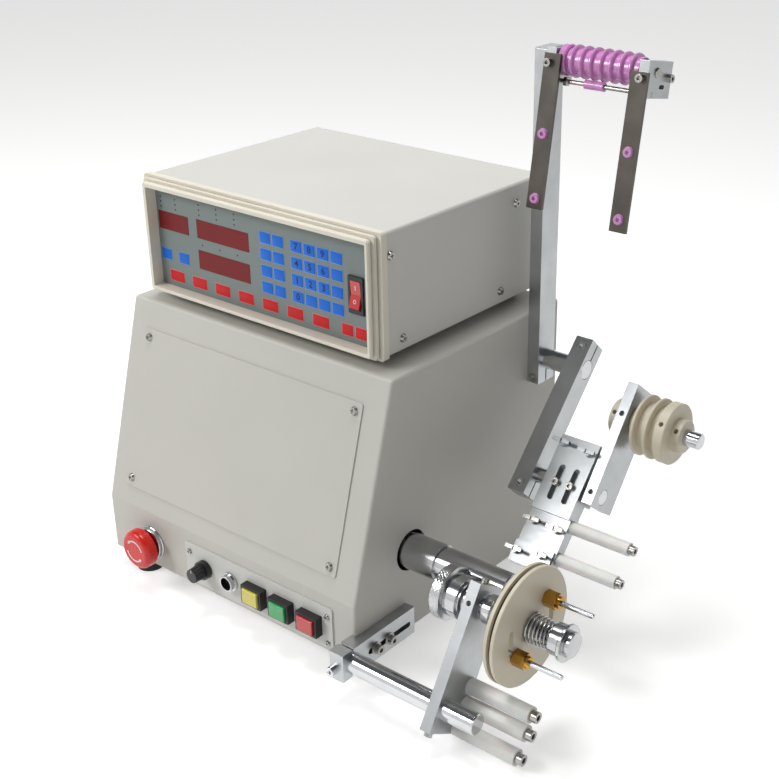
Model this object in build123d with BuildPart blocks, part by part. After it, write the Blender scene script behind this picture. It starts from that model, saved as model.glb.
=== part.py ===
from build123d import *
from math import acos, cos, degrees, pi, radians, sin, sqrt, tan, atan2
import os

os.makedirs("parts", exist_ok=True)

# Bench coil winding machine, in millimetres. Sizes are taken from the cabinet's left side (x), the
# bottom edge of its front (y, to the back) and its floor plate (z). The planes below shift them
# so that the origin is the middle of the footprint on the table.

# cabinet
cabinet_w = 312.5
cabinet_d = 285.0
cabinet_h = 241.7
kick_h = 55.0           # upright strip at the foot of the front
slope_back = 53.6       # how far the sloping front runs back
sheet = 1.5             # folded steel
bend_r = 3.0
foot_h = 20.0
foot_r = 14.0
foot_inset_x = 29.0
foot_inset_y = 16.0
fit = 0.02              # radial gap of parts pushed together
run = 0.05              # radial gap of parts that turn or slide
seam = 0.3              # gap round a plate set in an opening

# access cover on the slope
cover_left = 19.6
cover_right = 25.1      # from its edge to the cabinet's right side
cover_w = cabinet_w - cover_left - cover_right
cover_h = 151.0
cover_rise = 17.7       # from the bend up the slope to the cover
cover_t = 1.0
cover_lap = 14.0
cover_screw_inset = 8.1

# controls on the front strip
plate_w = 181.7
plate_right = 25.4      # from its edge to the cabinet's right side
plate_screw_in = 5.6
plate_left = cabinet_w - plate_right - plate_w
plate_low = 3.5
plate_h = 40.4
plate_t = 1.5
control_z = 23.7
stop_x = plate_left - 48.6
knob_x = plate_left + 25.3
socket_x = plate_left + 58.4
first_button_x = plate_left + 91.6
button_pitch = 33.15
bezel_w = 24.0
bezel_h = 18.6
bezel_proud = 8.0
lens_w = 18.0
lens_h = 14.0
lens_out = 2.2
stop_r = 18.8
stop_reach = 22.0
collar_reach = 5.0
knob_r = 9.0
knob_reach = 17.0
socket_r = 9.0
socket_bore = 6.2

# control case on top
case_w = 276.9
case_side = 21.0        # from the case to the cabinet's right side
case_left = cabinet_w - case_side - case_w
case_gap = 9.5          # height of its feet
case_h = 104.2
case_front = 69.1
case_rear = 285.3
case_sheet = 1.2
bezel_front = 57.6
frame_w = case_w - 11.2
frame_h = 100.3
lip_w = case_w - 18.8
lip_h = 92.1
rib_wall = 1.0
rib_reach = 4.1
rib_drop = 3.5
film_t = 0.5
key_rise = 0.4
panel_t = 1.5
window_t = 2.2
blue_key = (12.0, 9.4)
red_key = (17.6, 9.4)
small_key = (11.6, 9.4)
rocker_right = 28.1     # from the case's right side
rocker_x = case_left + case_w - rocker_right
rocker_z = 47.3
rocker_bezel = (16.0, 32.0)
rocker_w = 10.6
rocker_h = 23.0
rocker_tilt = 6.0

# spindle and its drive, inside the cabinet and out of its right side
spindle_y = 72.5
spindle_z = 76.9
spindle_hole_r = 18.7
spindle_r = 16.0
spindle_tail_r = 15.0
spindle_step = cabinet_w + 37.5
spindle_end = cabinet_w + 105.5
spindle_start = cabinet_w - 122.5
spindle_bore_r = 9.0
motor_y = 172.0
motor_side = 60.0
motor_length = 92.0
motor_shaft_r = 5.0
pulley_x = cabinet_w - 72.5
pulley_w = 18.0
flange_t = 1.5
big_pulley_r = 28.0
small_pulley_r = 14.0
belt_t = 2.4
block_w = 22.0
block_x = (cabinet_w - 114.5, cabinet_w - 32.5)

# swing bracket below the spindle: bar, rod and plate
bar_x = cabinet_w
bar_t = 10.0
bar_low = 2.0
bar_h = 26.0
bar_front = -28.0
bar_back = 63.5
block_extra = 5.0       # how far its front block is wider
rod_y = -15.0
rod_z = 15.0
rod_r = 9.0
rod_start = cabinet_w - 4.5
rod_end = cabinet_w + 138.5
slot_w = 5.2
slot_z = 14.0
slot_back = 58.0
slot_front = 4.0
bar_screws_y = (13.0, 30.0)
plate_x = cabinet_w + 97.5
swing_t = 10.0
swing_lean = 32.0
swing_low = -20.4
swing_high = 102.1
swing_front = -12.0
swing_back = 30.0
swing_back_top = 22.0
chuck_up = 84.6         # winding mandrel above the rod, along the plate
chuck_across = 6.1
bearing_r = 11.0
tube_places = ((24.0, 20.0), (26.0, 5.0), (24.0, -14.4))
tube_r = 7.0
tube_end = cabinet_w + 167.5
tube_screw = 6.0

# chuck, mandrel and disc
mandrel_r = 6.5
mandrel_end = cabinet_w + 190.5
collar_x = cabinet_w + 67.5
collar_w = 10.0
chuck_core_r = 16.0
chuck_r = 18.0
nose_r = 13.0
hub_x = cabinet_w + 111.5
disc_x = cabinet_w + 141.5
disc_t = 10.0
disc_r = 49.5
groove_w = 3.4
groove_depth = 4.5
backing_r = 20.0
arc_r = 27.0
arc_w = 6.5
arc_from = -15.0
arc_sweep = 62.0
post_r = 26.0
post_angles = (40.5, 216.0)
post_flats = 12.0
post_length = 14.0
pin_r = 2.25
pin_end = cabinet_w + 195.5
wire_d = 1.9
spring_turns = 6.5
spring_wide_r = 12.6
spring_narrow_r = 10.4
stop_collar_x = cabinet_w + 174.5
stop_collar_r = 13.5
stop_flange_r = 15.5
stop_flange_at = 9.0
stop_boss_r = 10.6
stop_cap_t = 1.0

# upright post and the two arms behind the spindle
post_t = 12.1
post_w = 24.4
post_front = 239.4
post_low = 174.8
post_top = 475.2
upper_z = 197.3
upper_end = cabinet_w + 55.5
arm_x = cabinet_w + 38.5
arm_t = 17.0
arm_w = 23.0
arm_lean = 43.0
arm_above = 25.0
arm_reach = 103.3       # upper rod to link rod
arm_below = 21.7
slit_w = 1.6
link_r = 7.0
pulley_arm_x = cabinet_w + 111.5
pulley_arm_t = 10.0
pulley_arm_lean = 38.0
pulley_arm_low = -10.6
pulley_arm_high = 99.4
pulley_arm_front = -15.6
pulley_arm_back = 24.4
wheel_up = 71.4
wheel_across = 4.4
wheel_shaft_r = 7.0
wheel_r = 26.7
wheel_core_r = 20.0
wheel_hub_r = 14.5
rear_collar_r = 16.0
rear_collar_t = 7.8
shaft_end = cabinet_w + 184.5

# guide plates on the link rod, leaning with the wire
guide_lean = 42.0
guide_left = cabinet_w + 68.5
guide_right = cabinet_w + 108.5
guide_face = -11.0      # front face of the block, in front of the link rod
guide_back = 1.0
guide_high = 38.0
guide_low = -79.5
lobe_r = 12.0
slotted_t = 5.0
slotted_left = cabinet_w + 70.0
slotted_low = -30.0
slotted_high = 38.5
slot_pair = (cabinet_w + 83.0, cabinet_w + 97.5)
slot_low = -19.0
slot_high = 13.0
slot_screw_up = -3.5
guide_tubes = ((-4.9, -33.8), (-3.4, -62.9))
guide_tube_r = 5.75
guide_tube_end = cabinet_w + 165.5
wing_places = (         # from the cabinet's side, and up from the link rod
    (75.5, 31.0),
    (101.5, 29.0),
    (76.5, -40.0),
    (100.5, -41.0),
    (73.5, -69.0),
    (97.5, -66.0),
)
clamp_plate_t = 2.0

# wire head at the top of the post
head_y = 251.6
head_z = 466.0
head_lean = 10.0
head_shaft_r = 4.0
inner_block_x = cabinet_w + 12.4
inner_block_t = 9.0
end_block_x = cabinet_w + 99.5
end_block_t = 9.0
block_front = -14.0
block_back = 23.0
block_low = -20.0
block_high = 9.0
sleeve_w = 7.0
sleeve_r = 13.0
roller_end = cabinet_w + 96.5
roller_r = 13.5
roller_core_r = 10.5
ridge_pitch = 9.27
first_ridge = cabinet_w + 34.5
ridge_count = 7
hang_t = 3.0
hang_w = 15.5
hang_left = (cabinet_w + 12.5, cabinet_w + 94.5)
hang_high = (4.5, 0.0)
hang_low = (-122.5, -126.5)
hang_screws = ((cabinet_w + 17.5, -3.4), (cabinet_w + 104.0, -5.0))
eyelets_up = ((-60.3, -113.8), (-62.5, -116.2))
eyelet_r = 4.6
eyelet_bore = 1.7
tie_across = -5.0
tie_up = -16.8
tie_r = 1.9

# footprint of everything, for the shift to its middle
screw_head = 5.0
plate_foot_y = rod_y + (swing_low - screw_head) * sin(radians(swing_lean))
plate_foot_y += (swing_front + 2.7) * cos(radians(swing_lean))
inlet_proud = 2.5
mid_x = pin_end / 2
mid_y = (plate_foot_y + case_rear + inlet_proud) / 2


def shifted(x, y, z):
    return (x - mid_x, y - mid_y, z + foot_h)


def flat(x, y, z):
    """Level plane: local x runs right, local y runs back."""
    return Plane(shifted(x, y, z))


def front(x, y, z, lean=0.0):
    """Plane that faces the front, its top leaning back: local x runs right, local y up."""
    turn = radians(lean)
    return Plane(shifted(x, y, z), x_dir=(1, 0, 0), z_dir=(0, -cos(turn), sin(turn)))


def side(x, y, z, lean=0.0):
    """Plane that faces right, its top leaning back: local x runs back, local y up."""
    turn = radians(lean)
    return Plane(shifted(x, y, z), x_dir=(0, cos(turn), -sin(turn)), z_dir=(1, 0, 0))


def leaning(y, z, lean, across, up):
    """The y and z of a point given across and up a leaning part that starts at y, z."""
    turn = radians(lean)
    return y + across * cos(turn) + up * sin(turn), z - across * sin(turn) + up * cos(turn)


def turned(x, y, z, outline, bore=0.0):
    """A part turned about an axis along x: outline holds pairs of distance from x and radius."""
    length = outline[-1][0]
    with BuildPart() as piece:
        with BuildSketch(front(x, y, z)):
            with BuildLine():
                Polyline([(outline[0][0], bore)] + list(outline) + [(length, bore)], close=True)
            make_face()
        revolve(axis=Axis(shifted(x, y, z), (1, 0, 0)))
    return piece.part


def round_bar(x, y, z, end, radius, chamfered=0.0):
    """A round rod along x from x to end."""
    length = end - x
    step = chamfered if chamfered else 0.01
    outline = [(0, radius - step), (step, radius), (length - step, radius), (length, radius - step)]
    return turned(x, y, z, outline)


def tube_bar(x, y, z, end, radius, bore):
    """A plain tube along x from x to end."""
    return turned(x, y, z, [(0, radius), (end - x, radius)], bore)


def cap_screw(seat, size, length, head_r=0.0):
    """A socket head screw: seat is the plane under its head, size its thread diameter."""
    reach = size
    with BuildPart() as screw:
        with BuildSketch(seat):
            Circle(head_r if head_r else size * 0.85)
        extrude(amount=reach)
        with BuildSketch(seat.offset(reach)):
            RegularPolygon(size * 0.46, 6)
        extrude(amount=-reach / 2, mode=Mode.SUBTRACT)
        with BuildSketch(seat):
            Circle(size / 2)
        extrude(amount=-length)
    return screw.part


def pan_screw(seat, size, length):
    """A pan head screw with a cross recess."""
    head_r = size * 0.98
    rise = size * 0.6
    with BuildPart() as screw:
        with BuildSketch(seat):
            Circle(head_r)
        extrude(amount=rise, taper=24)
        with BuildSketch(seat.offset(rise)):
            Rectangle(size, size * 0.24)
            Rectangle(size * 0.24, size)
        extrude(amount=-rise * 0.6, mode=Mode.SUBTRACT)
        with BuildSketch(seat):
            Circle(size / 2)
        extrude(amount=-length)
    return screw.part


def drilled(seats, radius, depth):
    """Drills of one radius that start at each seat and go down depth below it."""
    drills = []
    for seat in seats:
        with BuildPart() as drill:
            with BuildSketch(seat):
                Circle(radius)
            extrude(amount=-depth)
        drills.append(drill.part)
    return drills


def wing_screw(seat, length):
    """A thumb screw with two upright wings on a round boss."""
    with BuildPart() as screw:
        with BuildSketch(seat):
            Circle(3.6)
        extrude(amount=5.0, taper=6)
        with BuildSketch(seat.offset(3.0)):
            with Locations((-4.4, 0), (4.4, 0)):
                Rectangle(6.0, 1.8)
        extrude(amount=6.0, taper=-8)
        with BuildSketch(seat):
            Circle(2.0)
        extrude(amount=-length)
    return screw.part


# ---- cabinet ----

slope_lean = degrees(atan2(slope_back, cabinet_h - kick_h))
cover_x = cover_left + cover_w / 2
cover_up = cover_rise + cover_h / 2
cover_places = [
    (cover_x + across * (cover_w / 2 - cover_screw_inset), up * (cover_h / 2 - cover_screw_inset))
    for across in (-1, 1)
    for up in (-1, 1)
]
cover_seats = [
    front(x, *leaning(0, kick_h, slope_lean, 0, cover_up + up), slope_lean) for x, up in cover_places
]
plate_mid_x = plate_left + plate_w / 2
plate_mid_z = plate_low + plate_h / 2
plate_screw_spots = [(plate_left + plate_screw_in, control_z + up) for up in (-15.2, 11.3)]
plate_screw_spots += [(plate_left + plate_w - plate_screw_in, z) for _, z in plate_screw_spots[:2]]
post_y = post_front + post_w / 2
post_screw_z = (post_low + 37, post_low + 55)
button_x = [first_button_x + button_pitch * n for n in range(3)]

with BuildPart() as cabinet_shell:
    with BuildSketch(side(0, 0, 0)):
        with BuildLine():
            Polyline(
                (0, 0),
                (0, kick_h),
                (slope_back, cabinet_h),
                (cabinet_d, cabinet_h),
                (cabinet_d, 0),
                close=True,
            )
        make_face()
    extrude(amount=cabinet_w)
    back = cabinet_d - mid_y - 1
    bends = [edge for edge in cabinet_shell.edges() if edge.center().Z > foot_h + 1 and edge.center().Y < back]
    fillet(bends, bend_r)
    openings = cabinet_shell.faces().sort_by(Axis.Y)[-1:] + cabinet_shell.faces().sort_by(Axis.Z)[:1]
    offset(amount=-sheet, openings=openings)
    with BuildSketch(front(cover_x, *leaning(0, kick_h, slope_lean, 0, cover_up), slope_lean)):
        RectangleRounded(cover_w - 2 * cover_lap, cover_h - 2 * cover_lap, 5)
    extrude(amount=-4, mode=Mode.SUBTRACT)
    with BuildSketch(front(plate_mid_x, 0, control_z)):
        Rectangle(plate_w - 28, 30)
        with Locations((stop_x - plate_mid_x, 0)):
            Circle(11.3)
    extrude(amount=-3, mode=Mode.SUBTRACT)
    for seat in cover_seats:
        add(drilled([seat], 2.1, 4), mode=Mode.SUBTRACT)
    add(drilled([front(x, 0, z) for x, z in plate_screw_spots], 1.6, 3), mode=Mode.SUBTRACT)
    add(drilled([side(cabinet_w, spindle_y, spindle_z)], spindle_hole_r, 5), mode=Mode.SUBTRACT)
    add(drilled([side(cabinet_w, y, slot_z) for y in bar_screws_y], 2.6, 5), mode=Mode.SUBTRACT)
    add(drilled([side(cabinet_w, post_y, z) for z in post_screw_z], 3.1, 5), mode=Mode.SUBTRACT)
cabinet_shell.part.label = "cabinet_shell"
export_step(cabinet_shell.part, "parts/cabinet_shell.step")

with BuildPart() as base_plate:
    with BuildSketch(flat(cabinet_w / 2, cabinet_d / 2, 0)):
        RectangleRounded(cabinet_w - 2 * sheet, cabinet_d - 2 * sheet, bend_r)
    extrude(amount=2)
    with BuildSketch(side(pulley_x - 8, motor_y, spindle_z)):
        with Locations((0, (motor_side - 2 * spindle_z) / 4 + 4)):
            Rectangle(motor_side + 10, spindle_z + motor_side / 2 + 4)
        Circle(motor_shaft_r + 6, mode=Mode.SUBTRACT)
    extrude(amount=4)
base_plate.part.label = "base_plate"
export_step(base_plate.part, "parts/base_plate.step")

back_screws = [(x, z) for x in (9, cabinet_w - 9) for z in (12, cabinet_h - 12)]
with BuildPart() as back_cover:
    with BuildSketch(front(cabinet_w / 2, cabinet_d, cabinet_h / 2 + 1 - sheet / 2)):
        RectangleRounded(cabinet_w - 2 * sheet, cabinet_h - 2 - sheet, bend_r)
        with Locations((0, 20)):
            with GridLocations(70, 12, 3, 6):
                SlotOverall(54, 4, mode=Mode.SUBTRACT)
    extrude(amount=sheet)
    add(drilled([front(x, cabinet_d - sheet, z) for x, z in back_screws], 1.6, 3), mode=Mode.SUBTRACT)
back_cover.part.label = "back_cover"
export_step(back_cover.part, "parts/back_cover.step")

with BuildPart() as access_cover:
    with BuildSketch(front(cover_x, *leaning(0, kick_h, slope_lean, 0, cover_up), slope_lean)):
        RectangleRounded(cover_w, cover_h, 3)
    extrude(amount=cover_t)
    add(drilled([seat.offset(cover_t) for seat in cover_seats], 2.1, 4), mode=Mode.SUBTRACT)
access_cover.part.label = "access_cover"
export_step(access_cover.part, "parts/access_cover.step")

foot_places = [
    (x, y)
    for x in (foot_inset_x, cabinet_w - foot_inset_x)
    for y in (foot_inset_y, cabinet_d - foot_inset_y)
]
case_foot_places = [
    (x, y)
    for x in (case_left + 22, case_left + case_w - 22)
    for y in (case_front + 30, case_rear - 22)
]
with BuildPart() as rubber_feet:
    for x, y in foot_places:
        with BuildSketch(flat(x, y, 0)):
            Circle(foot_r)
        extrude(amount=-foot_h, taper=4)
    for x, y in case_foot_places:
        with BuildSketch(flat(x, y, cabinet_h + case_gap)):
            Circle(9)
        extrude(amount=-case_gap, taper=4)
rubber_feet.part.label = "rubber_feet"
export_step(rubber_feet.part, "parts/rubber_feet.step")

# ---- controls ----

neck_w = 13.0
with BuildPart() as button_plate:
    with BuildSketch(front(plate_mid_x, -plate_t, plate_mid_z)):
        RectangleRounded(plate_w, plate_h, 2)
        with Locations((knob_x - plate_mid_x, control_z - plate_mid_z)):
            Circle(3.6, mode=Mode.SUBTRACT)
        with Locations((socket_x - plate_mid_x, control_z - plate_mid_z)):
            Circle(socket_r - 1, mode=Mode.SUBTRACT)
        for x in button_x:
            with Locations((x - plate_mid_x, control_z - plate_mid_z)):
                Rectangle(neck_w + 0.2, neck_w + 0.2, mode=Mode.SUBTRACT)
    extrude(amount=-plate_t)
    add(drilled([front(x, -plate_t, z) for x, z in plate_screw_spots], 1.6, 3), mode=Mode.SUBTRACT)
button_plate.part.label = "button_plate"
export_step(button_plate.part, "parts/button_plate.step")

rocker_y = case_front - film_t
rocker_mid_z = cabinet_h + case_gap + rocker_z
stop_neck_r = 10.0
with BuildPart() as switch_bezels:
    for x in button_x:
        with BuildSketch(front(x, -plate_t, control_z)):
            Rectangle(bezel_w, bezel_h)
        extrude(amount=bezel_proud)
        with BuildSketch(front(x, -plate_t - bezel_proud, control_z)):
            Rectangle(lens_w + 0.3, lens_h + 0.3)
        extrude(amount=-(bezel_proud - 2), mode=Mode.SUBTRACT)
        with BuildSketch(front(x, -plate_t, control_z)):
            Rectangle(neck_w, neck_w)
        extrude(amount=-10)
        add(drilled([front(x, -plate_t - 2, control_z)], 4, 20), mode=Mode.SUBTRACT)
    with BuildSketch(front(stop_x, 0, control_z)):
        Circle(14.5)
        Circle(stop_neck_r + run, mode=Mode.SUBTRACT)
    extrude(amount=collar_reach)
    with BuildSketch(front(rocker_x, rocker_y, rocker_mid_z)):
        Rectangle(*rocker_bezel)
        Rectangle(rocker_w + 0.6, rocker_h + 1.6, mode=Mode.SUBTRACT)
    extrude(amount=2)
    with BuildSketch(front(rocker_x, rocker_y, rocker_mid_z)):
        Rectangle(rocker_w + 3.4, rocker_h + 5)
        Rectangle(rocker_w + 0.6, rocker_h + 1.6, mode=Mode.SUBTRACT)
    extrude(amount=-22)
    with BuildSketch(front(rocker_x, rocker_y + 22, rocker_mid_z)):
        Rectangle(rocker_w + 3.4, rocker_h + 5)
    extrude(amount=-2)
switch_bezels.part.label = "switch_bezels"
export_step(switch_bezels.part, "parts/switch_bezels.step")

def push_button(x):
    """A square lens on a round plunger."""
    with BuildPart() as lens:
        with BuildSketch(front(x, -plate_t - bezel_proud + 3, control_z)):
            Rectangle(lens_w, lens_h)
        extrude(amount=3 + lens_out)
        fillet(lens.faces().sort_by(Axis.Y)[0].edges(), 0.8)
        with BuildSketch(front(x, -plate_t - bezel_proud + 3, control_z)):
            Circle(3.8)
        extrude(amount=-5)
    return lens.part


with BuildPart() as button_yellow:
    add(push_button(button_x[0]))
button_yellow.part.label = "button_yellow"
export_step(button_yellow.part, "parts/button_yellow.step")

with BuildPart() as button_green:
    add(push_button(button_x[1]))
button_green.part.label = "button_green"
export_step(button_green.part, "parts/button_green.step")

with BuildPart() as button_red:
    add(push_button(button_x[2]))
button_red.part.label = "button_red"
export_step(button_red.part, "parts/button_red.step")

with BuildPart() as estop_head:
    with BuildSketch(front(stop_x, -stop_reach + 12, control_z)):
        Circle(stop_r)
    extrude(amount=12)
    fillet(estop_head.faces().sort_by(Axis.Y)[0].edges(), 5)
    fillet(estop_head.faces().sort_by(Axis.Y)[-1].edges(), 1)
    with BuildSketch(front(stop_x, -stop_reach + 12, control_z)):
        Circle(stop_neck_r)
    extrude(amount=-(stop_reach - 12 - 1))
estop_head.part.label = "estop_head"
export_step(estop_head.part, "parts/estop_head.step")

knob_shaft_r = 3.0
with BuildPart() as speed_knob:
    with BuildSketch(front(knob_x, -plate_t - 0.5, control_z)):
        Circle(knob_r)
    extrude(amount=5)
    with BuildSketch(front(knob_x, -plate_t - 5.5, control_z)):
        Circle(knob_r - 1.8)
        with PolarLocations(knob_r - 1.4, 14):
            Circle(0.9, mode=Mode.SUBTRACT)
    extrude(amount=knob_reach - 5.5, taper=3)
    knob_seat = front(knob_x, -plate_t - knob_reach + 3, control_z)
    add(drilled([knob_seat], knob_shaft_r + fit, knob_reach), mode=Mode.SUBTRACT)
speed_knob.part.label = "speed_knob"
export_step(speed_knob.part, "parts/speed_knob.step")

with BuildPart() as pedal_socket:
    with BuildSketch(front(socket_x, -plate_t, control_z)):
        Circle(socket_r)
    extrude(amount=2)
    with BuildSketch(front(socket_x, -plate_t, control_z)):
        Circle(socket_r - 1.5)
    extrude(amount=6.5)
    with BuildSketch(front(socket_x, -plate_t, control_z)):
        Circle(socket_r - 1 - fit)
    extrude(amount=-9)
    add(drilled([front(socket_x, -plate_t - 8, control_z)], socket_bore, 20), mode=Mode.SUBTRACT)
pedal_socket.part.label = "pedal_socket"
export_step(pedal_socket.part, "parts/pedal_socket.step")

with BuildPart() as control_bodies:
    with BuildSketch(front(socket_x, 3, control_z)):
        Circle(socket_bore - fit)
    extrude(amount=-14)
    with BuildSketch(front(socket_x, 3, control_z)):
        with PolarLocations(3.2, 4):
            Circle(0.8)
    extrude(amount=7)
    with BuildSketch(front(knob_x, 0, control_z)):
        Circle(8)
    extrude(amount=-12)
    with BuildSketch(front(knob_x, 0, control_z)):
        Circle(3.55)
    extrude(amount=plate_t + 0.3)
    with BuildSketch(front(knob_x, 0, control_z)):
        Circle(knob_shaft_r)
    extrude(amount=knob_reach - 2)
    for x in button_x:
        with BuildSketch(front(x, 10 - plate_t, control_z)):
            Rectangle(neck_w, neck_w)
        extrude(amount=-24)
    with BuildSketch(front(stop_x, sheet, control_z)):
        Rectangle(30, 30)
        Circle(stop_neck_r + 1.2, mode=Mode.SUBTRACT)
    extrude(amount=-8)
    with BuildSketch(front(stop_x, sheet + 8, control_z)):
        Rectangle(30, 30)
    extrude(amount=-30)
control_bodies.part.label = "control_bodies"
export_step(control_bodies.part, "parts/control_bodies.step")

# ---- control case ----

case_low = cabinet_h + case_gap
case_right = case_left + case_w
case_x = case_left + case_w / 2
case_mid_z = case_low + case_h / 2
frame_x = case_left + 5.6 + frame_w / 2
frame_z = case_low + frame_h / 2
lip_x = case_left + 10.0 + lip_w / 2
lip_z = case_low + 4 + lip_h / 2
side_screws = ((77.5, 335.5), (246.4, 337.5), (91.4, 261.1), (224.5, 262.2))

with BuildPart() as case_cover:
    with BuildSketch(front(case_x, case_front, case_mid_z)):
        Rectangle(case_w, case_h)
        fillet(vertices().group_by(Axis.Y)[-1], 3)
        with Locations((0, -case_sheet)):
            Rectangle(case_w - 2 * case_sheet, case_h, mode=Mode.SUBTRACT)
    extrude(amount=-(case_rear - case_front))
    for x in (case_right, case_left + case_sheet + 1):
        add(drilled([side(x, y, z) for y, z in side_screws], 2.1, case_sheet + 1), mode=Mode.SUBTRACT)
case_cover.part.label = "case_cover"
export_step(case_cover.part, "parts/case_cover.step")

inlet_x = case_left + 55.4
inlet_z = case_low + 50.0
with BuildPart() as case_chassis:
    with BuildSketch(flat(case_x, (case_front + case_rear) / 2, case_low)):
        Rectangle(case_w - 2 * case_sheet, case_rear - case_front)
    extrude(amount=case_sheet)
    with BuildSketch(front(case_x, case_rear, case_mid_z - case_sheet / 2)):
        Rectangle(case_w - 2 * case_sheet, case_h - case_sheet)
        with Locations((inlet_x - case_x, inlet_z - case_mid_z + case_sheet / 2)):
            Rectangle(27, 20, mode=Mode.SUBTRACT)
        with Locations((60, 0)):
            with GridLocations(10, 0, 8, 1):
                SlotOverall(36, 4, rotation=90, mode=Mode.SUBTRACT)
    extrude(amount=case_sheet)
case_chassis.part.label = "case_chassis"
export_step(case_chassis.part, "parts/case_chassis.step")

with BuildPart() as power_inlet:
    with BuildSketch(front(inlet_x, case_rear, inlet_z)):
        RectangleRounded(32, 25, 3)
    extrude(amount=-inlet_proud)
    with BuildSketch(front(inlet_x, case_rear, inlet_z)):
        Rectangle(26.8, 19.8)
    extrude(amount=18)
    with BuildSketch(front(inlet_x, case_rear + inlet_proud, inlet_z)):
        RectangleRounded(23, 15.6, 2)
    extrude(amount=15, mode=Mode.SUBTRACT)
    with BuildSketch(front(inlet_x, case_rear - 12.5, inlet_z)):
        with Locations((-7, -1.5), (7, -1.5), (0, 3)):
            Rectangle(2, 4)
    extrude(amount=-9)
power_inlet.part.label = "power_inlet"
export_step(power_inlet.part, "parts/power_inlet.step")

rib_x = case_x
rib_w = case_w + 2 * rib_wall
rib_h = case_h + rib_wall + rib_drop
rib_z = case_mid_z + (rib_wall - rib_drop) / 2
bezel_rings = (
    (bezel_front, 3.6, frame_x, frame_z, frame_w, frame_h),
    (bezel_front + 3.6, 1.4, frame_x, frame_z, frame_w - 3, frame_h - 3),
    (bezel_front + 5.0, 2.9, frame_x, frame_z + 0.2, frame_w + 5, frame_h + 4.5),
    (bezel_front + 7.9, 1.2, frame_x, frame_z, frame_w, frame_h),
    (bezel_front + 9.1, case_front - bezel_front - 9.1 + rib_reach, rib_x, rib_z, rib_w, rib_h),
)
with BuildPart() as front_bezel:
    for y, reach, x, z, width, height in bezel_rings:
        with BuildSketch(front(x, y, z)):
            RectangleRounded(width, height, 3)
        extrude(amount=-reach)
    chamfer(front_bezel.faces().sort_by(Axis.Y)[0].edges(), 1)
    with BuildSketch(front(lip_x, bezel_front, lip_z)):
        RectangleRounded(lip_w, lip_h, 1)
    extrude(amount=-30, mode=Mode.SUBTRACT)
    with BuildSketch(front(case_x, case_front, case_mid_z)):
        Rectangle(case_w, case_h)
        fillet(vertices().group_by(Axis.Y)[-1], 3)
    extrude(amount=-30, mode=Mode.SUBTRACT)
front_bezel.part.label = "front_bezel"
export_step(front_bezel.part, "parts/front_bezel.step")

# keypad places are measured from the case's left and lowest edges
windows = ((31.4, 65.0, 38.5, 16.5), (94.0, 65.5, 64.6, 17.0), (93.6, 37.2, 64.2, 17.4))
blue_keys = [(18.8 + n * 23.0, 33.5) for n in range(2)]
blue_keys += [(146.5 + n * 15.0, 74.4 - m * 14.8) for n in range(2) for m in range(4)]
blue_keys += [(182.6 + n * 15.0, 74.2 - m * 14.75) for n in range(4) for m in range(4)]
red_keys = [(30.6 + n * 29.5, 14.4) for n in range(7)]
small_keys = [(237.4, 14.4), (252.3, 14.4)]
window_gap = 0.1
with BuildPart() as keypad_film:
    with BuildSketch(front(lip_x, rocker_y, lip_z)):
        RectangleRounded(lip_w - 0.2, lip_h - 0.2, 1)
    extrude(amount=-film_t)
    for places, size in ((blue_keys, blue_key), (red_keys, red_key), (small_keys, small_key)):
        with BuildSketch(front(case_left, rocker_y, case_low)):
            with Locations(*places):
                Rectangle(*size)
        extrude(amount=key_rise)
    with BuildSketch(front(case_left, rocker_y, case_low)):
        for x, z, width, height in windows:
            with Locations((x, z)):
                Rectangle(width + 2 * window_gap, height + 2 * window_gap)
        with Locations((rocker_x - case_left, rocker_z)):
            Rectangle(rocker_w + 3.6, rocker_h + 5.2)
    extrude(amount=-film_t, mode=Mode.SUBTRACT)
keypad_film.part.label = "keypad_film"
export_step(keypad_film.part, "parts/keypad_film.step")

with BuildPart() as front_panel:
    with BuildSketch(front(case_x, case_front, case_mid_z)):
        Rectangle(case_w - 2 * case_sheet - 0.4, case_h - 2 * case_sheet - 0.4)
    extrude(amount=-panel_t)
    with BuildSketch(front(case_left, case_front, case_low)):
        for x, z, width, height in windows:
            with Locations((x, z)):
                Rectangle(width + 2 * window_gap, height + 2 * window_gap)
        with Locations((rocker_x - case_left, rocker_z)):
            Rectangle(rocker_w + 3.6, rocker_h + 5.2)
    extrude(amount=-panel_t, mode=Mode.SUBTRACT)
front_panel.part.label = "front_panel"
export_step(front_panel.part, "parts/front_panel.step")

with BuildPart() as display_windows:
    for x, z, width, height in windows:
        with BuildSketch(front(case_left + x, rocker_y - 0.2, case_low + z)):
            Rectangle(width, height)
        extrude(amount=-window_t)
display_windows.part.label = "display_windows"
export_step(display_windows.part, "parts/display_windows.step")

rocker_pivot_y = rocker_y + 4
with BuildPart() as power_rocker:
    with BuildSketch(side(rocker_x - rocker_w / 2, rocker_pivot_y, rocker_mid_z, rocker_tilt)):
        with BuildLine():
            Polyline(
                (-7.5, rocker_h / 2),
                (-5.6, 0),
                (-7.5, -rocker_h / 2),
                (2, -rocker_h / 2 + 1),
                (5, 0),
                (2, rocker_h / 2 - 1),
                close=True,
            )
        make_face()
    extrude(amount=rocker_w)
    reach = rocker_w / 2 + 0.2
    add(round_bar(rocker_x - reach, rocker_pivot_y, rocker_mid_z, rocker_x + reach, 1.5))
power_rocker.part.label = "power_rocker"
export_step(power_rocker.part, "parts/power_rocker.step")

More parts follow.
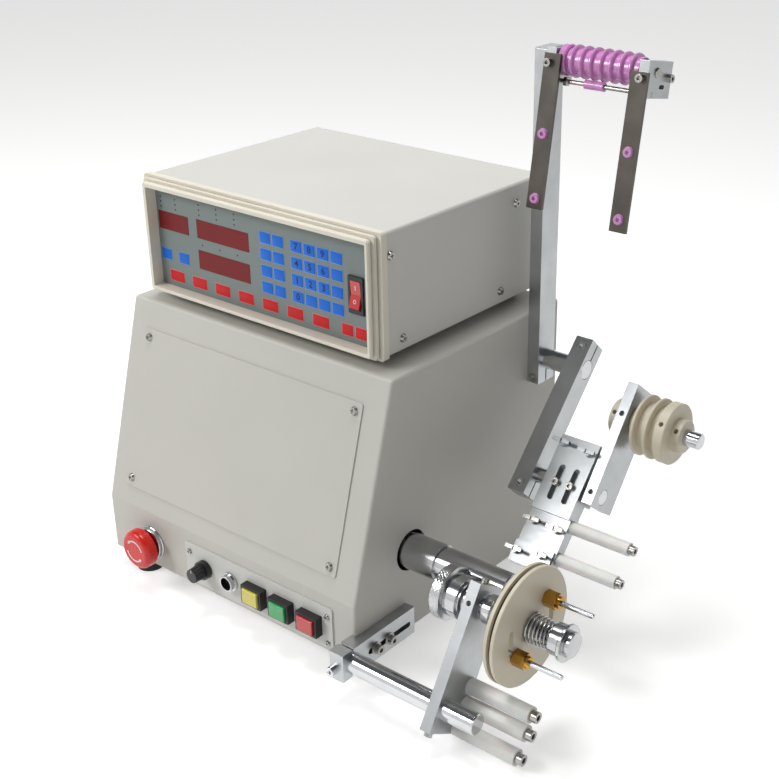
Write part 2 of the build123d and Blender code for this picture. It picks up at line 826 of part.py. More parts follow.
board_x = case_left + 122.4
with BuildPart() as control_board:
    with BuildSketch(front(board_x, case_front + panel_t + 10, case_mid_z)):
        Rectangle(214, 84)
    extrude(amount=-1.6)
    with BuildSketch(front(board_x, case_front + panel_t, case_mid_z)):
        with GridLocations(200, 74, 2, 2):
            Circle(3)
    extrude(amount=-10)
    with BuildSketch(front(board_x, case_front + panel_t + 11.6, case_mid_z)):
        with Locations((-70, 12)):
            Rectangle(40, 30)
        with Locations((-10, -14)):
            Rectangle(28, 28)
        with Locations((60, 20), (60, -20)):
            Circle(9)
    extrude(amount=-16)
control_board.part.label = "control_board"
export_step(control_board.part, "parts/control_board.step")

# ---- drive inside the cabinet ----

motor_x = pulley_x - 8
with BuildPart() as drive_motor:
    with BuildSketch(side(motor_x, motor_y, spindle_z)):
        RectangleRounded(motor_side, motor_side, 6)
    extrude(amount=-motor_length)
    add(round_bar(motor_x - 1, motor_y, spindle_z, motor_x + 4, motor_shaft_r + 6 - run))
    add(round_bar(motor_x, motor_y, spindle_z, motor_x + 7, motor_shaft_r + 1))
drive_motor.part.label = "drive_motor"
export_step(drive_motor.part, "parts/drive_motor.step")


def belt_pulley(y, radius, bore):
    """A flanged belt pulley on an axis along x."""
    seat_r = radius - belt_t
    outline = [(0, radius + 2), (flange_t, radius + 2), (flange_t, seat_r)]
    outline += [(pulley_w - flange_t, seat_r), (pulley_w - flange_t, radius + 2), (pulley_w, radius + 2)]
    return turned(pulley_x, y, spindle_z, outline, bore)


with BuildPart() as motor_pulley:
    add(belt_pulley(motor_y, small_pulley_r, motor_shaft_r))
    add(round_bar(motor_x + 7 + run, motor_y, spindle_z, pulley_x + pulley_w, motor_shaft_r))
motor_pulley.part.label = "motor_pulley"
export_step(motor_pulley.part, "parts/motor_pulley.step")

with BuildPart() as spindle_pulley:
    add(belt_pulley(spindle_y, big_pulley_r, spindle_r + fit))
spindle_pulley.part.label = "spindle_pulley"
export_step(spindle_pulley.part, "parts/spindle_pulley.step")

belt_side = pulley_x + flange_t + 0.5
with BuildPart() as drive_belt:
    with BuildSketch(side(belt_side, spindle_y, spindle_z)):
        Circle(big_pulley_r + run)
        with Locations((motor_y - spindle_y, 0)):
            Circle(small_pulley_r + run)
        make_hull()
    extrude(amount=pulley_w - 2 * flange_t - 1)
    with BuildSketch(side(belt_side, spindle_y, spindle_z)):
        Circle(big_pulley_r - belt_t + run)
        with Locations((motor_y - spindle_y, 0)):
            Circle(small_pulley_r - belt_t + run)
        make_hull()
    extrude(amount=pulley_w, mode=Mode.SUBTRACT)
drive_belt.part.label = "drive_belt"
export_step(drive_belt.part, "parts/drive_belt.step")

with BuildPart() as bearing_blocks:
    for x in block_x:
        with BuildSketch(side(x, spindle_y, spindle_z)):
            with Locations((0, (2 - spindle_z) / 2)):
                Rectangle(52, spindle_z - 2)
            Circle(26)
            Circle(spindle_r + run, mode=Mode.SUBTRACT)
        extrude(amount=block_w)
bearing_blocks.part.label = "bearing_blocks"
export_step(bearing_blocks.part, "parts/bearing_blocks.step")

# ---- spindle, chuck and mandrel ----

chuck_y, chuck_z = leaning(rod_y, rod_z, swing_lean, chuck_across, chuck_up)
# the knurled ring rolls on the spindle, so its radius follows from the distance between them
collar_r = sqrt((chuck_y - spindle_y) ** 2 + (chuck_z - spindle_z) ** 2) - spindle_tail_r - run

with BuildPart() as main_spindle:
    tail = spindle_step - spindle_start
    length = spindle_end - spindle_start
    neck_r = spindle_tail_r - 0.6
    outline = [(0, spindle_r), (tail - 2.4, spindle_r), (tail - 2.4, neck_r), (tail, neck_r)]
    outline += [(tail, spindle_tail_r), (length - 1, spindle_tail_r), (length, spindle_tail_r - 1)]
    add(turned(spindle_start, spindle_y, spindle_z, outline, spindle_bore_r))
main_spindle.part.label = "main_spindle"
export_step(main_spindle.part, "parts/main_spindle.step")

barrel_end = 22.0       # from the start of the chuck
plate_face = plate_x + swing_t
with BuildPart() as chuck_body:
    outline = [(0, chuck_core_r), (collar_w + 0.2, chuck_core_r), (collar_w + 0.2, chuck_r)]
    outline += [(barrel_end, chuck_r), (barrel_end, chuck_core_r), (barrel_end + 2, chuck_core_r)]
    outline += [(barrel_end + 3, nose_r), (plate_x - collar_x - 0.4, nose_r)]
    add(turned(collar_x, chuck_y, chuck_z, outline, mandrel_r + fit))
chuck_body.part.label = "chuck_body"
export_step(chuck_body.part, "parts/chuck_body.step")

with BuildPart() as knurled_collar:
    outline = [(0, collar_r - 1), (1, collar_r), (collar_w - 1, collar_r), (collar_w, collar_r - 1)]
    add(turned(collar_x, chuck_y, chuck_z, outline, chuck_core_r + fit))
knurled_collar.part.label = "knurled_collar"
export_step(knurled_collar.part, "parts/knurled_collar.step")

with BuildPart() as mandrel:
    start = collar_x + 2
    hub = hub_x - start
    disc_back = disc_x - start
    outline = [(0, mandrel_r), (hub, mandrel_r), (hub, 12.5), (hub + 7, 12.5), (hub + 7, 9)]
    outline += [(disc_back - 6, 9), (disc_back - 6, backing_r - 1), (disc_back - 5, backing_r)]
    outline += [(disc_back, backing_r), (disc_back, mandrel_r), (mandrel_end - start - 0.8, mandrel_r)]
    outline += [(mandrel_end - start, mandrel_r - 0.8)]
    add(turned(start, chuck_y, chuck_z, outline))
mandrel.part.label = "mandrel"
export_step(mandrel.part, "parts/mandrel.step")

with BuildPart() as plate_bearing:
    add(turned(plate_x, chuck_y, chuck_z, [(0, bearing_r), (swing_t, bearing_r)], mandrel_r + run))
plate_bearing.part.label = "plate_bearing"
export_step(plate_bearing.part, "parts/plate_bearing.step")

disc_end = disc_x + disc_t
cheek = (disc_t - groove_w) / 2
slot_inner = arc_r - arc_w / 2
slot_outer = arc_r + arc_w / 2
cap = degrees(arc_w / 2 / arc_r)


def round_spot(radius, turn):
    """Point at a radius and an angle in degrees."""
    return radius * cos(radians(turn)), radius * sin(radians(turn))


pins = [round_spot(post_r, turn) for turn in post_angles]
with BuildPart() as grooved_disc:
    outline = [(0, disc_r - 0.6), (0.6, disc_r), (cheek, disc_r), (cheek, disc_r - groove_depth)]
    outline += [(cheek + groove_w, disc_r - groove_depth), (cheek + groove_w, disc_r)]
    outline += [(disc_t - 0.6, disc_r), (disc_t, disc_r - 0.6)]
    add(turned(disc_x, chuck_y, chuck_z, outline, mandrel_r + run))
    for first in (arc_from, arc_from + 180):
        last = first + arc_sweep
        halfway = first + arc_sweep / 2
        outer = [round_spot(slot_outer, turn) for turn in (first, halfway, last)]
        inner = [round_spot(slot_inner, turn) for turn in (last, halfway, first)]
        with BuildSketch(side(disc_x, chuck_y, chuck_z)):
            with BuildLine():
                ThreePointArc(*outer)
                ThreePointArc(outer[-1], round_spot(arc_r, last + cap), inner[0])
                ThreePointArc(*inner)
                ThreePointArc(inner[-1], round_spot(arc_r, first - cap), outer[0])
            make_face()
        extrude(amount=disc_t, mode=Mode.SUBTRACT)
grooved_disc.part.label = "grooved_disc"
export_step(grooved_disc.part, "parts/grooved_disc.step")

with BuildPart() as brass_posts:
    for across, up in pins:
        with BuildSketch(side(disc_end, chuck_y + across, chuck_z + up)):
            RegularPolygon(post_flats / 2, 6, major_radius=False)
        extrude(amount=post_length - 3)
        with BuildSketch(side(disc_end + post_length - 3, chuck_y + across, chuck_z + up)):
            Circle(post_flats / 2 - 1)
        extrude(amount=3)
        add(drilled([side(pin_end, chuck_y + across, chuck_z + up)], pin_r + fit, 60), mode=Mode.SUBTRACT)
brass_posts.part.label = "brass_posts"
export_step(brass_posts.part, "parts/brass_posts.step")

with BuildPart() as drive_pins:
    for across, up in pins:
        length = pin_end - disc_x + 4
        outline = [(0, 4.4), (4, 4.4), (4, pin_r), (length - 0.8, pin_r), (length, pin_r - 0.8)]
        add(turned(disc_x - 4, chuck_y + across, chuck_z + up, outline))
drive_pins.part.label = "drive_pins"
export_step(drive_pins.part, "parts/drive_pins.step")

# conical spring between the disc and the end collar, wound as pairs of arcs over each quarter turn
spring_start = disc_end + wire_d / 2 + fit
spring_length = stop_collar_x - disc_end - wire_d - 2 * fit
quarters = round(spring_turns * 4)


def coil_point(share):
    """Centre of the wire after a share of the spring's turns."""
    angle = 2 * pi * spring_turns * share
    radius = spring_wide_r + (spring_narrow_r - spring_wide_r) * share
    x, y, z = shifted(spring_start + spring_length * share, chuck_y, chuck_z)
    return Vector(x, y + radius * cos(angle), z + radius * sin(angle))


def coil_way(share):
    """Direction of the wire after a share of the spring's turns."""
    step = 1e-5
    return (coil_point(share + step) - coil_point(share - step)).normalized()


def biarc(start, end, start_way, end_way):
    """Two arcs that join two points and hold a direction at each."""
    chord = end - start
    turn = 2 * (1 - start_way.dot(end_way))
    drift = chord.dot(start_way + end_way)
    reach = (sqrt(drift**2 + turn * chord.dot(chord)) - drift) / turn
    first = start + start_way * reach
    second = end - end_way * reach
    middle = (first + second) / 2
    return TangentArc(start, middle, tangent=start_way), TangentArc(middle, end, tangent=second - first)


coil = []
for number in range(quarters):
    here = number / quarters
    after = (number + 1) / quarters
    coil += biarc(coil_point(here), coil_point(after), coil_way(here), coil_way(after))
with BuildPart() as spring:
    with BuildSketch(Plane(coil_point(0), z_dir=coil_way(0))):
        Circle(wire_d / 2)
    sweep(path=Wire(coil))
spring.part.label = "spring"
export_step(spring.part, "parts/spring.step")

samples = [coil_point(n / (quarters * 12)) for n in range(quarters * 12 + 1)]
one_turn = round(12 * 4 * 0.6)
least = min(
    (samples[n] - samples[m]).length for n in range(len(samples)) for m in range(n + one_turn, len(samples))
)
print(f"least gap between the spring's turns: {least - wire_d:.2f} mm")

with BuildPart() as end_collar:
    length = mandrel_end + stop_cap_t - stop_collar_x
    outline = [(0, stop_collar_r - 0.6), (0.6, stop_collar_r), (stop_flange_at, stop_collar_r)]
    outline += [(stop_flange_at, stop_flange_r - 0.8), (stop_flange_at + 0.8, stop_flange_r)]
    outline += [(stop_flange_at + 2.6, stop_flange_r), (stop_flange_at + 3, stop_flange_r - 0.4)]
    outline += [(stop_flange_at + 3, stop_boss_r), (length - 0.6, stop_boss_r), (length, stop_boss_r - 0.6)]
    add(turned(stop_collar_x, chuck_y, chuck_z, outline, mandrel_r + fit))
    add(round_bar(mandrel_end + fit, chuck_y, chuck_z, stop_collar_x + length, mandrel_r + 1))
end_collar.part.label = "end_collar"
export_step(end_collar.part, "parts/end_collar.step")

# ---- swing bracket ----

with BuildPart() as bracket_bar:
    with BuildSketch(flat(0, 0, bar_low)):
        with BuildLine():
            Polyline(
                (bar_x - block_extra, bar_front),
                (bar_x + bar_t, bar_front),
                (bar_x + bar_t, bar_back),
                (bar_x, bar_back),
                (bar_x, -seam),
                (bar_x - block_extra, -seam),
                close=True,
            )
        make_face()
    extrude(amount=bar_h)
    chamfer(bracket_bar.edges().filter_by(Axis.Z).sort_by(Axis.Y)[:2], 0.8)
    add(drilled([side(bar_x + bar_t, rod_y, rod_z)], rod_r + fit, 20), mode=Mode.SUBTRACT)
    with BuildSketch(side(bar_x - block_extra, rod_y, rod_z)):
        with Locations((0, bar_h / 2)):
            Rectangle(slit_w, bar_h)
    extrude(amount=20, mode=Mode.SUBTRACT)
    with BuildSketch(side(bar_x + bar_t, (slot_front + slot_back) / 2, slot_z)):
        SlotOverall(slot_back - slot_front, slot_w)
    extrude(amount=-bar_t, mode=Mode.SUBTRACT)
    add(drilled([front(bar_x - 0.5, bar_front, rod_z - 4.2)], 2.55, 8), mode=Mode.SUBTRACT)
bracket_bar.part.label = "bracket_bar"
export_step(bracket_bar.part, "parts/bracket_bar.step")

with BuildPart() as lower_rod:
    add(round_bar(rod_start, rod_y, rod_z, rod_end, rod_r, 1))
    add(cap_screw(front(bar_x - 0.5, bar_front, rod_z - 4.2), 5, rod_y - rod_r - bar_front - 0.1))
lower_rod.part.label = "lower_rod"
export_step(lower_rod.part, "parts/lower_rod.step")

top_screw = (1.6, swing_high)
low_screw = (swing_front + 7, swing_low)
with BuildPart() as swing_plate:
    with BuildSketch(side(plate_x, rod_y, rod_z, swing_lean)):
        with BuildLine():
            Polyline(
                (swing_front, swing_low),
                (swing_back, swing_low),
                (swing_back, 40),
                (swing_back_top, swing_high),
                (swing_front, swing_high),
                close=True,
            )
        make_face()
        fillet(vertices().sort_by(Axis.Y)[:2].sort_by(Axis.X)[-1], 6)
        fillet(vertices().sort_by(Axis.Y)[-2:].sort_by(Axis.X)[-1], 4)
        Circle(rod_r + run, mode=Mode.SUBTRACT)
        with Locations((chuck_across, chuck_up)):
            Circle(bearing_r + fit, mode=Mode.SUBTRACT)
        with Locations(*tube_places):
            Circle(tube_screw / 2 + 0.1, mode=Mode.SUBTRACT)
    extrude(amount=swing_t)
    edge_y, edge_z = leaning(rod_y, rod_z, swing_lean, swing_front, chuck_up)
    edge_seat = front(plate_x + swing_t / 2, edge_y, edge_z, swing_lean)
    add(drilled([edge_seat], 2.2, 5), mode=Mode.SUBTRACT)
    low_y, low_z = leaning(rod_y, rod_z, swing_lean, *low_screw)
    top_y, top_z = leaning(rod_y, rod_z, swing_lean, *top_screw)
    along_plate = side(0, 0, 0, swing_lean).y_dir
    low_seat = Plane(shifted(plate_x + swing_t / 2, low_y, low_z), x_dir=(1, 0, 0), z_dir=along_plate * -1)
    top_seat = Plane(shifted(plate_x + swing_t / 2, top_y, top_z), x_dir=(1, 0, 0), z_dir=along_plate)
    add(drilled([low_seat, top_seat], 2.05, 5), mode=Mode.SUBTRACT)
swing_plate.part.label = "swing_plate"
export_step(swing_plate.part, "parts/swing_plate.step")

with BuildPart() as bracket_screws:
    add(cap_screw(low_seat, 4, 5))
    add(cap_screw(top_seat, 4, 5))
    for place in tube_places:
        y, z = leaning(rod_y, rod_z, swing_lean, *place)
        add(cap_screw(side(tube_end, y, z), tube_screw, tube_end - plate_x + 6, 4.8))
        with BuildSketch(side(plate_x - 0.01, y, z)):
            RegularPolygon(5, 6, major_radius=False)
        extrude(amount=-5)
bracket_screws.part.label = "bracket_screws"
export_step(bracket_screws.part, "parts/bracket_screws.step")

with BuildPart() as lower_tubes:
    for place in tube_places:
        y, z = leaning(rod_y, rod_z, swing_lean, *place)
        add(tube_bar(plate_face, y, z, tube_end, tube_r, tube_screw / 2 + run))
lower_tubes.part.label = "lower_tubes"
export_step(lower_tubes.part, "parts/lower_tubes.step")

# ---- post and arms ----

post_x = cabinet_w
clamp_drop = 17.0       # from a clamped rod to the screw that closes its slit
counter_r = 4.6
counter_depth = 5.2
post_clamp = front(post_x + post_t / 2, post_front + counter_depth, upper_z - clamp_drop)
with BuildPart() as guide_post:
    with BuildSketch(side(post_x, post_y, (post_low + post_top) / 2)):
        Rectangle(post_w, post_top - post_low)
        chamfer(vertices(), 0.8)
        with Locations((0, upper_z - (post_low + post_top) / 2)):
            Circle(rod_r + fit, mode=Mode.SUBTRACT)
        with Locations((0, head_z - (post_low + post_top) / 2)):
            Circle(head_shaft_r + run, mode=Mode.SUBTRACT)
        with Locations((0, (post_low - post_top) / 2)):
            Rectangle(slit_w, 2 * (upper_z - post_low), mode=Mode.SUBTRACT)
    extrude(amount=post_t)
    add(drilled([post_clamp.offset(10)], counter_r, 10), mode=Mode.SUBTRACT)
    add(drilled([post_clamp], 2.55, 16), mode=Mode.SUBTRACT)
    add(drilled([side(post_x + 9.5, post_y, z) for z in post_screw_z], 3.05, 10), mode=Mode.SUBTRACT)
guide_post.part.label = "guide_post"
export_step(guide_post.part, "parts/guide_post.step")

with BuildPart() as upper_rod:
    add(round_bar(post_x + 0.2, post_y, upper_z, upper_end, rod_r, 0.6))
upper_rod.part.label = "upper_rod"
export_step(upper_rod.part, "parts/upper_rod.step")

link_y, link_z = leaning(post_y, upper_z, arm_lean, 0, -arm_reach)
arm_low = -arm_reach - arm_below
clamp_ups = (arm_above - 8.2, arm_low + 8.5)
arm_seats = [
    front(arm_x + arm_t / 2, *leaning(post_y, upper_z, arm_lean, counter_depth - arm_w / 2, up), arm_lean)
    for up in clamp_ups
]
with BuildPart() as swing_arm:
    with BuildSketch(side(arm_x, post_y, upper_z, arm_lean)):
        with Locations((0, (arm_above + arm_low) / 2)):
            Rectangle(arm_w, arm_above - arm_low)
        Circle(rod_r + run, mode=Mode.SUBTRACT)
        with Locations((0, arm_above)):
            Rectangle(slit_w, 2 * arm_above, mode=Mode.SUBTRACT)
        with Locations((0, -arm_reach)):
            Circle(link_r + fit, mode=Mode.SUBTRACT)
        with Locations((0, arm_low)):
            Rectangle(slit_w, 2 * arm_below, mode=Mode.SUBTRACT)
    extrude(amount=arm_t)
    add(drilled([seat.offset(10) for seat in arm_seats], counter_r, 10), mode=Mode.SUBTRACT)
    add(drilled(arm_seats, 2.55, 15), mode=Mode.SUBTRACT)
swing_arm.part.label = "swing_arm"
export_step(swing_arm.part, "parts/swing_arm.step")

pulley_arm_end = pulley_arm_x + pulley_arm_t
with BuildPart() as link_rod:
    add(round_bar(arm_x, link_y, link_z, pulley_arm_end, link_r, 0.5))
    for seat in arm_seats:
        add(cap_screw(seat, 5, 14.5))
link_rod.part.label = "link_rod"
export_step(link_rod.part, "parts/link_rod.step")

wheel_y, wheel_z = leaning(link_y, link_z, pulley_arm_lean, wheel_across, wheel_up)
with BuildPart() as pulley_arm:
    with BuildSketch(side(pulley_arm_x, link_y, link_z, pulley_arm_lean)):
        with Locations(
            ((pulley_arm_front + pulley_arm_back) / 2, (pulley_arm_low + pulley_arm_high) / 2)
        ):
            Rectangle(pulley_arm_back - pulley_arm_front, pulley_arm_high - pulley_arm_low)
        Circle(link_r + run, mode=Mode.SUBTRACT)
        with Locations((wheel_across, wheel_up)):
            Circle(wheel_shaft_r + run, mode=Mode.SUBTRACT)
    extrude(amount=pulley_arm_t)
    edge_seats = [
        front(
            pulley_arm_x + pulley_arm_t / 2,
            *leaning(link_y, link_z, pulley_arm_lean, pulley_arm_front, up),
            pulley_arm_lean,
        )
        for up in (0, wheel_up)
    ]
    add(drilled(edge_seats, 2.3, 6), mode=Mode.SUBTRACT)
pulley_arm.part.label = "pulley_arm"
export_step(pulley_arm.part, "parts/pulley_arm.step")

shaft_start = pulley_arm_x - rear_collar_t - 0.2
with BuildPart() as pulley_shaft:
    add(round_bar(shaft_start, wheel_y, wheel_z, shaft_end, wheel_shaft_r, 0.8))
pulley_shaft.part.label = "pulley_shaft"
export_step(pulley_shaft.part, "parts/pulley_shaft.step")

wheel_x = pulley_arm_end + 0.3
with BuildPart() as wire_pulley:
    outline = [(0, 12), (8.7, 12), (8.7, wheel_r - 0.6), (9.3, wheel_r), (11.2, wheel_r)]
    outline += [(11.8, wheel_r - 0.6), (11.8, wheel_core_r), (20.7, wheel_core_r)]
    outline += [(20.7, wheel_r - 0.6), (21.3, wheel_r)]
    outline += [(23.2, wheel_r), (23.8, wheel_r - 0.6), (23.8, wheel_core_r), (30.7, wheel_core_r)]
    outline += [(30.7, wheel_r - 0.8), (31.5, wheel_r), (39.4, wheel_r), (40.2, wheel_r - 0.8)]
    outline += [(40.2, wheel_hub_r), (48, wheel_hub_r), (48.7, wheel_hub_r - 0.7)]
    add(turned(wheel_x, wheel_y, wheel_z, outline, wheel_shaft_r + fit))
    hub_seats = [
        front(wheel_x + x, *leaning(wheel_y, wheel_z, pulley_arm_lean, -radius, 0), pulley_arm_lean)
        for x, radius in ((35.4, wheel_r), (44.4, wheel_hub_r))
    ]
    add(drilled(hub_seats, 2.1, 6), mode=Mode.SUBTRACT)
    outline = [(0, rear_collar_r - 0.6), (0.6, rear_collar_r), (rear_collar_t - 0.6, rear_collar_r)]
    outline += [(rear_collar_t, rear_collar_r - 0.6)]
    add(turned(shaft_start, wheel_y, wheel_z, outline, wheel_shaft_r + fit))
    collar_seat = front(
        shaft_start + rear_collar_t / 2,
        *leaning(wheel_y, wheel_z, pulley_arm_lean, -rear_collar_r, 0),
        pulley_arm_lean,
    )
    add(drilled([collar_seat], 1.9, 6), mode=Mode.SUBTRACT)
wire_pulley.part.label = "wire_pulley"
export_step(wire_pulley.part, "parts/wire_pulley.step")


def guide_front(x, up, reach):
    """Plane facing the front on the guide block, reach in front of the link rod's axis."""
    return front(x, *leaning(link_y, link_z, guide_lean, -reach, up), guide_lean)


slot_seats = [guide_front(x, slot_screw_up, slotted_t - guide_face + run) for x in slot_pair]
block_wings = [guide_front(cabinet_w + x, up, -guide_face) for x, up in wing_places[2:4]]
clamp_wings = [guide_front(cabinet_w + x, up, clamp_plate_t - guide_face + fit) for x, up in wing_places[4:]]
plate_wings = [guide_front(cabinet_w + x, up, slotted_t - guide_face + fit) for x, up in wing_places[:2]]
with BuildPart() as guide_plates:
    with BuildSketch(side(guide_left, link_y, link_z, guide_lean)):
        with BuildLine():
            Polyline(
                (guide_face, guide_low),
                (guide_back, guide_low),
                (guide_back, -lobe_r),
                (-guide_face, -lobe_r),
                (-guide_face, lobe_r),
                (guide_back, lobe_r),
                (guide_back, guide_high),
                (guide_face, guide_high),
                close=True,
            )
        make_face()
        Circle(link_r + run, mode=Mode.SUBTRACT)
    extrude(amount=guide_right - guide_left)
    with BuildSketch(guide_front((guide_left + guide_right) / 2 - 1, guide_low + 10, fit - guide_face)):
        Rectangle(guide_right - guide_left - 1, 19)
    extrude(amount=clamp_plate_t - fit)
    add(drilled([seat.offset(-slotted_t) for seat in slot_seats], 2.03, 4), mode=Mode.SUBTRACT)
    add(drilled(block_wings + clamp_wings, 2.03, 9.2), mode=Mode.SUBTRACT)
    for across, up in guide_tubes:
        y, z = leaning(link_y, link_z, guide_lean, across, up)
        add(drilled([side(guide_right, y, z)], 2.55, 5), mode=Mode.SUBTRACT)
guide_plates.part.label = "guide_plates"
export_step(guide_plates.part, "parts/guide_plates.step")

with BuildPart() as slotted_plate:
    slotted_mid = (slotted_left + guide_right) / 2
    with BuildSketch(guide_front(slotted_mid, (slotted_low + slotted_high) / 2, -guide_face)):
        Rectangle(guide_right - slotted_left, slotted_high - slotted_low)
    extrude(amount=slotted_t)
    for x in slot_pair:
        with BuildSketch(guide_front(x, (slot_low + slot_high) / 2, slotted_t - guide_face)):
            SlotOverall(slot_high - slot_low, 6, rotation=90)
        extrude(amount=-slotted_t, mode=Mode.SUBTRACT)
    add(drilled(plate_wings, 2.03, slotted_t + 1), mode=Mode.SUBTRACT)
    for seat in plate_wings:
        add(wing_screw(seat, slotted_t))
slotted_plate.part.label = "slotted_plate"
export_step(slotted_plate.part, "parts/slotted_plate.step")

with BuildPart() as guide_screws:
    for seat in slot_seats:
        add(cap_screw(seat, 4, slotted_t + 3.4))
    for seat in block_wings + clamp_wings:
        add(wing_screw(seat, 9))
    for across, up in guide_tubes:
        y, z = leaning(link_y, link_z, guide_lean, across, up)
        add(cap_screw(side(guide_tube_end, y, z), 5, guide_tube_end - guide_right + 4.6))
guide_screws.part.label = "guide_screws"
export_step(guide_screws.part, "parts/guide_screws.step")

with BuildPart() as upper_tubes:
    for across, up in guide_tubes:
        y, z = leaning(link_y, link_z, guide_lean, across, up)
        add(tube_bar(guide_right, y, z, guide_tube_end, guide_tube_r, 2.55))
upper_tubes.part.label = "upper_tubes"
export_step(upper_tubes.part, "parts/upper_tubes.step")

# ---- wire head ----


def head_side(x):
    return side(x, head_y, head_z, head_lean)


def head_front(x, across, up):
    return front(x, *leaning(head_y, head_z, head_lean, across, up), head_lean)


tie_y, tie_z = leaning(head_y, head_z, head_lean, tie_across, tie_up)
bar_seats = [head_front(x, block_front - hang_t, up) for x, up in hang_screws]
clamp_spot = (18.5, -4.0)
with BuildPart() as head_blocks:
    for x, thick, back in (
        (inner_block_x, inner_block_t, -block_front),
        (end_block_x, end_block_t, block_back),
    ):
        with BuildSketch(head_side(x)):
            with Locations(((block_front + back) / 2, (block_low + block_high) / 2)):
                Rectangle(back - block_front, block_high - block_low)
            Circle(head_shaft_r + fit, mode=Mode.SUBTRACT)
            with Locations((tie_across, tie_up)):
                Circle(tie_r + fit, mode=Mode.SUBTRACT)
        extrude(amount=thick)
    with BuildSketch(head_side(end_block_x)):
        with Locations(clamp_spot):
            Circle(2.03)
        with Locations((clamp_spot[0] - 9, clamp_spot[1] - 7)):
            SlotOverall(8, 3.2)
    extrude(amount=end_block_t, mode=Mode.SUBTRACT)
    add(drilled(bar_seats, 2.03, 10), mode=Mode.SUBTRACT)
head_blocks.part.label = "head_blocks"
export_step(head_blocks.part, "parts/head_blocks.step")

with BuildPart() as head_rods:
    add(round_bar(post_x + 0.5, head_y, head_z, end_block_x + end_block_t + 1.5, head_shaft_r, 0.5))
    add(round_bar(inner_block_x, tie_y, tie_z, end_block_x + end_block_t, tie_r, 0.3))
    with BuildSketch(side(inner_block_x + inner_block_t + 6, tie_y, tie_z, head_lean)):
        RegularPolygon(3.5, 6, major_radius=False)
    extrude(amount=3.2)
    for seat in bar_seats:
        add(cap_screw(seat, 4, 9.5))
    spot_y, spot_z = leaning(head_y, head_z, head_lean, *clamp_spot)
    add(cap_screw(side(end_block_x + end_block_t, spot_y, spot_z), 4, end_block_t + 8))
head_rods.part.label = "head_rods"
export_step(head_rods.part, "parts/head_rods.step")

sleeve_x = inner_block_x + inner_block_t + 0.3
with BuildPart() as wire_roller:
    outline = [(0, sleeve_r - 1), (1, sleeve_r), (sleeve_w - 1, sleeve_r), (sleeve_w, sleeve_r - 1)]
    add(turned(sleeve_x, head_y, head_z, outline, head_shaft_r + run))
    roller_x = sleeve_x + sleeve_w + 0.3
    outline = [(0, roller_core_r)]
    for number in range(ridge_count):
        ridge = first_ridge + number * ridge_pitch - roller_x
        outline += [(ridge - 2.0, roller_core_r), (ridge - 1.5, roller_r - 0.7), (ridge - 0.6, roller_r)]
        outline += [(ridge + 0.6, roller_r), (ridge + 1.5, roller_r - 0.7), (ridge + 2.0, roller_core_r)]
    outline += [(roller_end - roller_x, roller_core_r)]
    add(turned(roller_x, head_y, head_z, outline, head_shaft_r + run))
wire_roller.part.label = "wire_roller"
export_step(wire_roller.part, "parts/wire_roller.step")

eyelet_spots = [
    (left + hang_w / 2, up) for left, ups in zip(hang_left, eyelets_up) for up in ups
]
eyelet_seats = [head_front(x, block_front - hang_t, up) for x, up in eyelet_spots]
with BuildPart() as hanging_bars:
    for left, low, high in zip(hang_left, hang_low, hang_high):
        with BuildSketch(head_front(left + hang_w / 2, block_front, (low + high) / 2)):
            Rectangle(hang_w, high - low)
        extrude(amount=hang_t)
    add(drilled(eyelet_seats, 3.2 + fit, 5), mode=Mode.SUBTRACT)
    add(drilled(bar_seats, 2.03, 5), mode=Mode.SUBTRACT)
hanging_bars.part.label = "hanging_bars"
export_step(hanging_bars.part, "parts/hanging_bars.step")

with BuildPart() as eyelets:
    for seat in eyelet_seats:
        with BuildSketch(seat):
            Circle(eyelet_r)
        extrude(amount=2.2, taper=18)
        with BuildSketch(seat):
            Circle(3.2)
        extrude(amount=-hang_t)
        with BuildSketch(seat.offset(-hang_t)):
            Circle(eyelet_r)
        extrude(amount=-1.6, taper=18)
        add(drilled([seat.offset(5)], eyelet_bore, 12), mode=Mode.SUBTRACT)
    add(tube_bar(360, tie_y, tie_z, 378, 3.8, tie_r + run))
eyelets.part.label = "eyelets"
export_step(eyelets.part, "parts/eyelets.step")

# ---- screws that hold the fixed pieces ----

with BuildPart() as fixing_screws:
    for seat in cover_seats:
        add(pan_screw(seat.offset(cover_t), 4, 6))
    for x, z in plate_screw_spots:
        add(pan_screw(front(x, -plate_t, z), 3, 6))
    for y, z in side_screws:
        add(pan_screw(side(case_right, y, z), 4, 5))
        left_seat = Plane(shifted(case_left, y, z), x_dir=(0, 1, 0), z_dir=(-1, 0, 0))
        add(pan_screw(left_seat, 4, 5))
    for x, z in back_screws:
        rear_seat = Plane(shifted(x, cabinet_d, z), x_dir=(-1, 0, 0), z_dir=(0, 1, 0))
        add(pan_screw(rear_seat, 3, 6))
    for z in post_screw_z:
        inner_seat = Plane(shifted(cabinet_w - sheet, post_y, z), x_dir=(0, 1, 0), z_dir=(-1, 0, 0))
        add(cap_screw(inner_seat, 6, sheet + 9))
    add(cap_screw(post_clamp, 5, 15))
    for y in bar_screws_y:
        seat = side(bar_x + bar_t + 1.2, y, slot_z)
        add(cap_screw(seat, 5, bar_t + 1.2 + sheet + 6))
        with BuildSketch(seat):
            Circle(5.6)
        extrude(amount=-1.2 + run)
fixing_screws.part.label = "fixing_screws"
export_step(fixing_screws.part, "parts/fixing_screws.step")
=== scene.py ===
import bpy
import bmesh
from math import atan2, cos, pi, radians, sin
from mathutils import Matrix, Vector


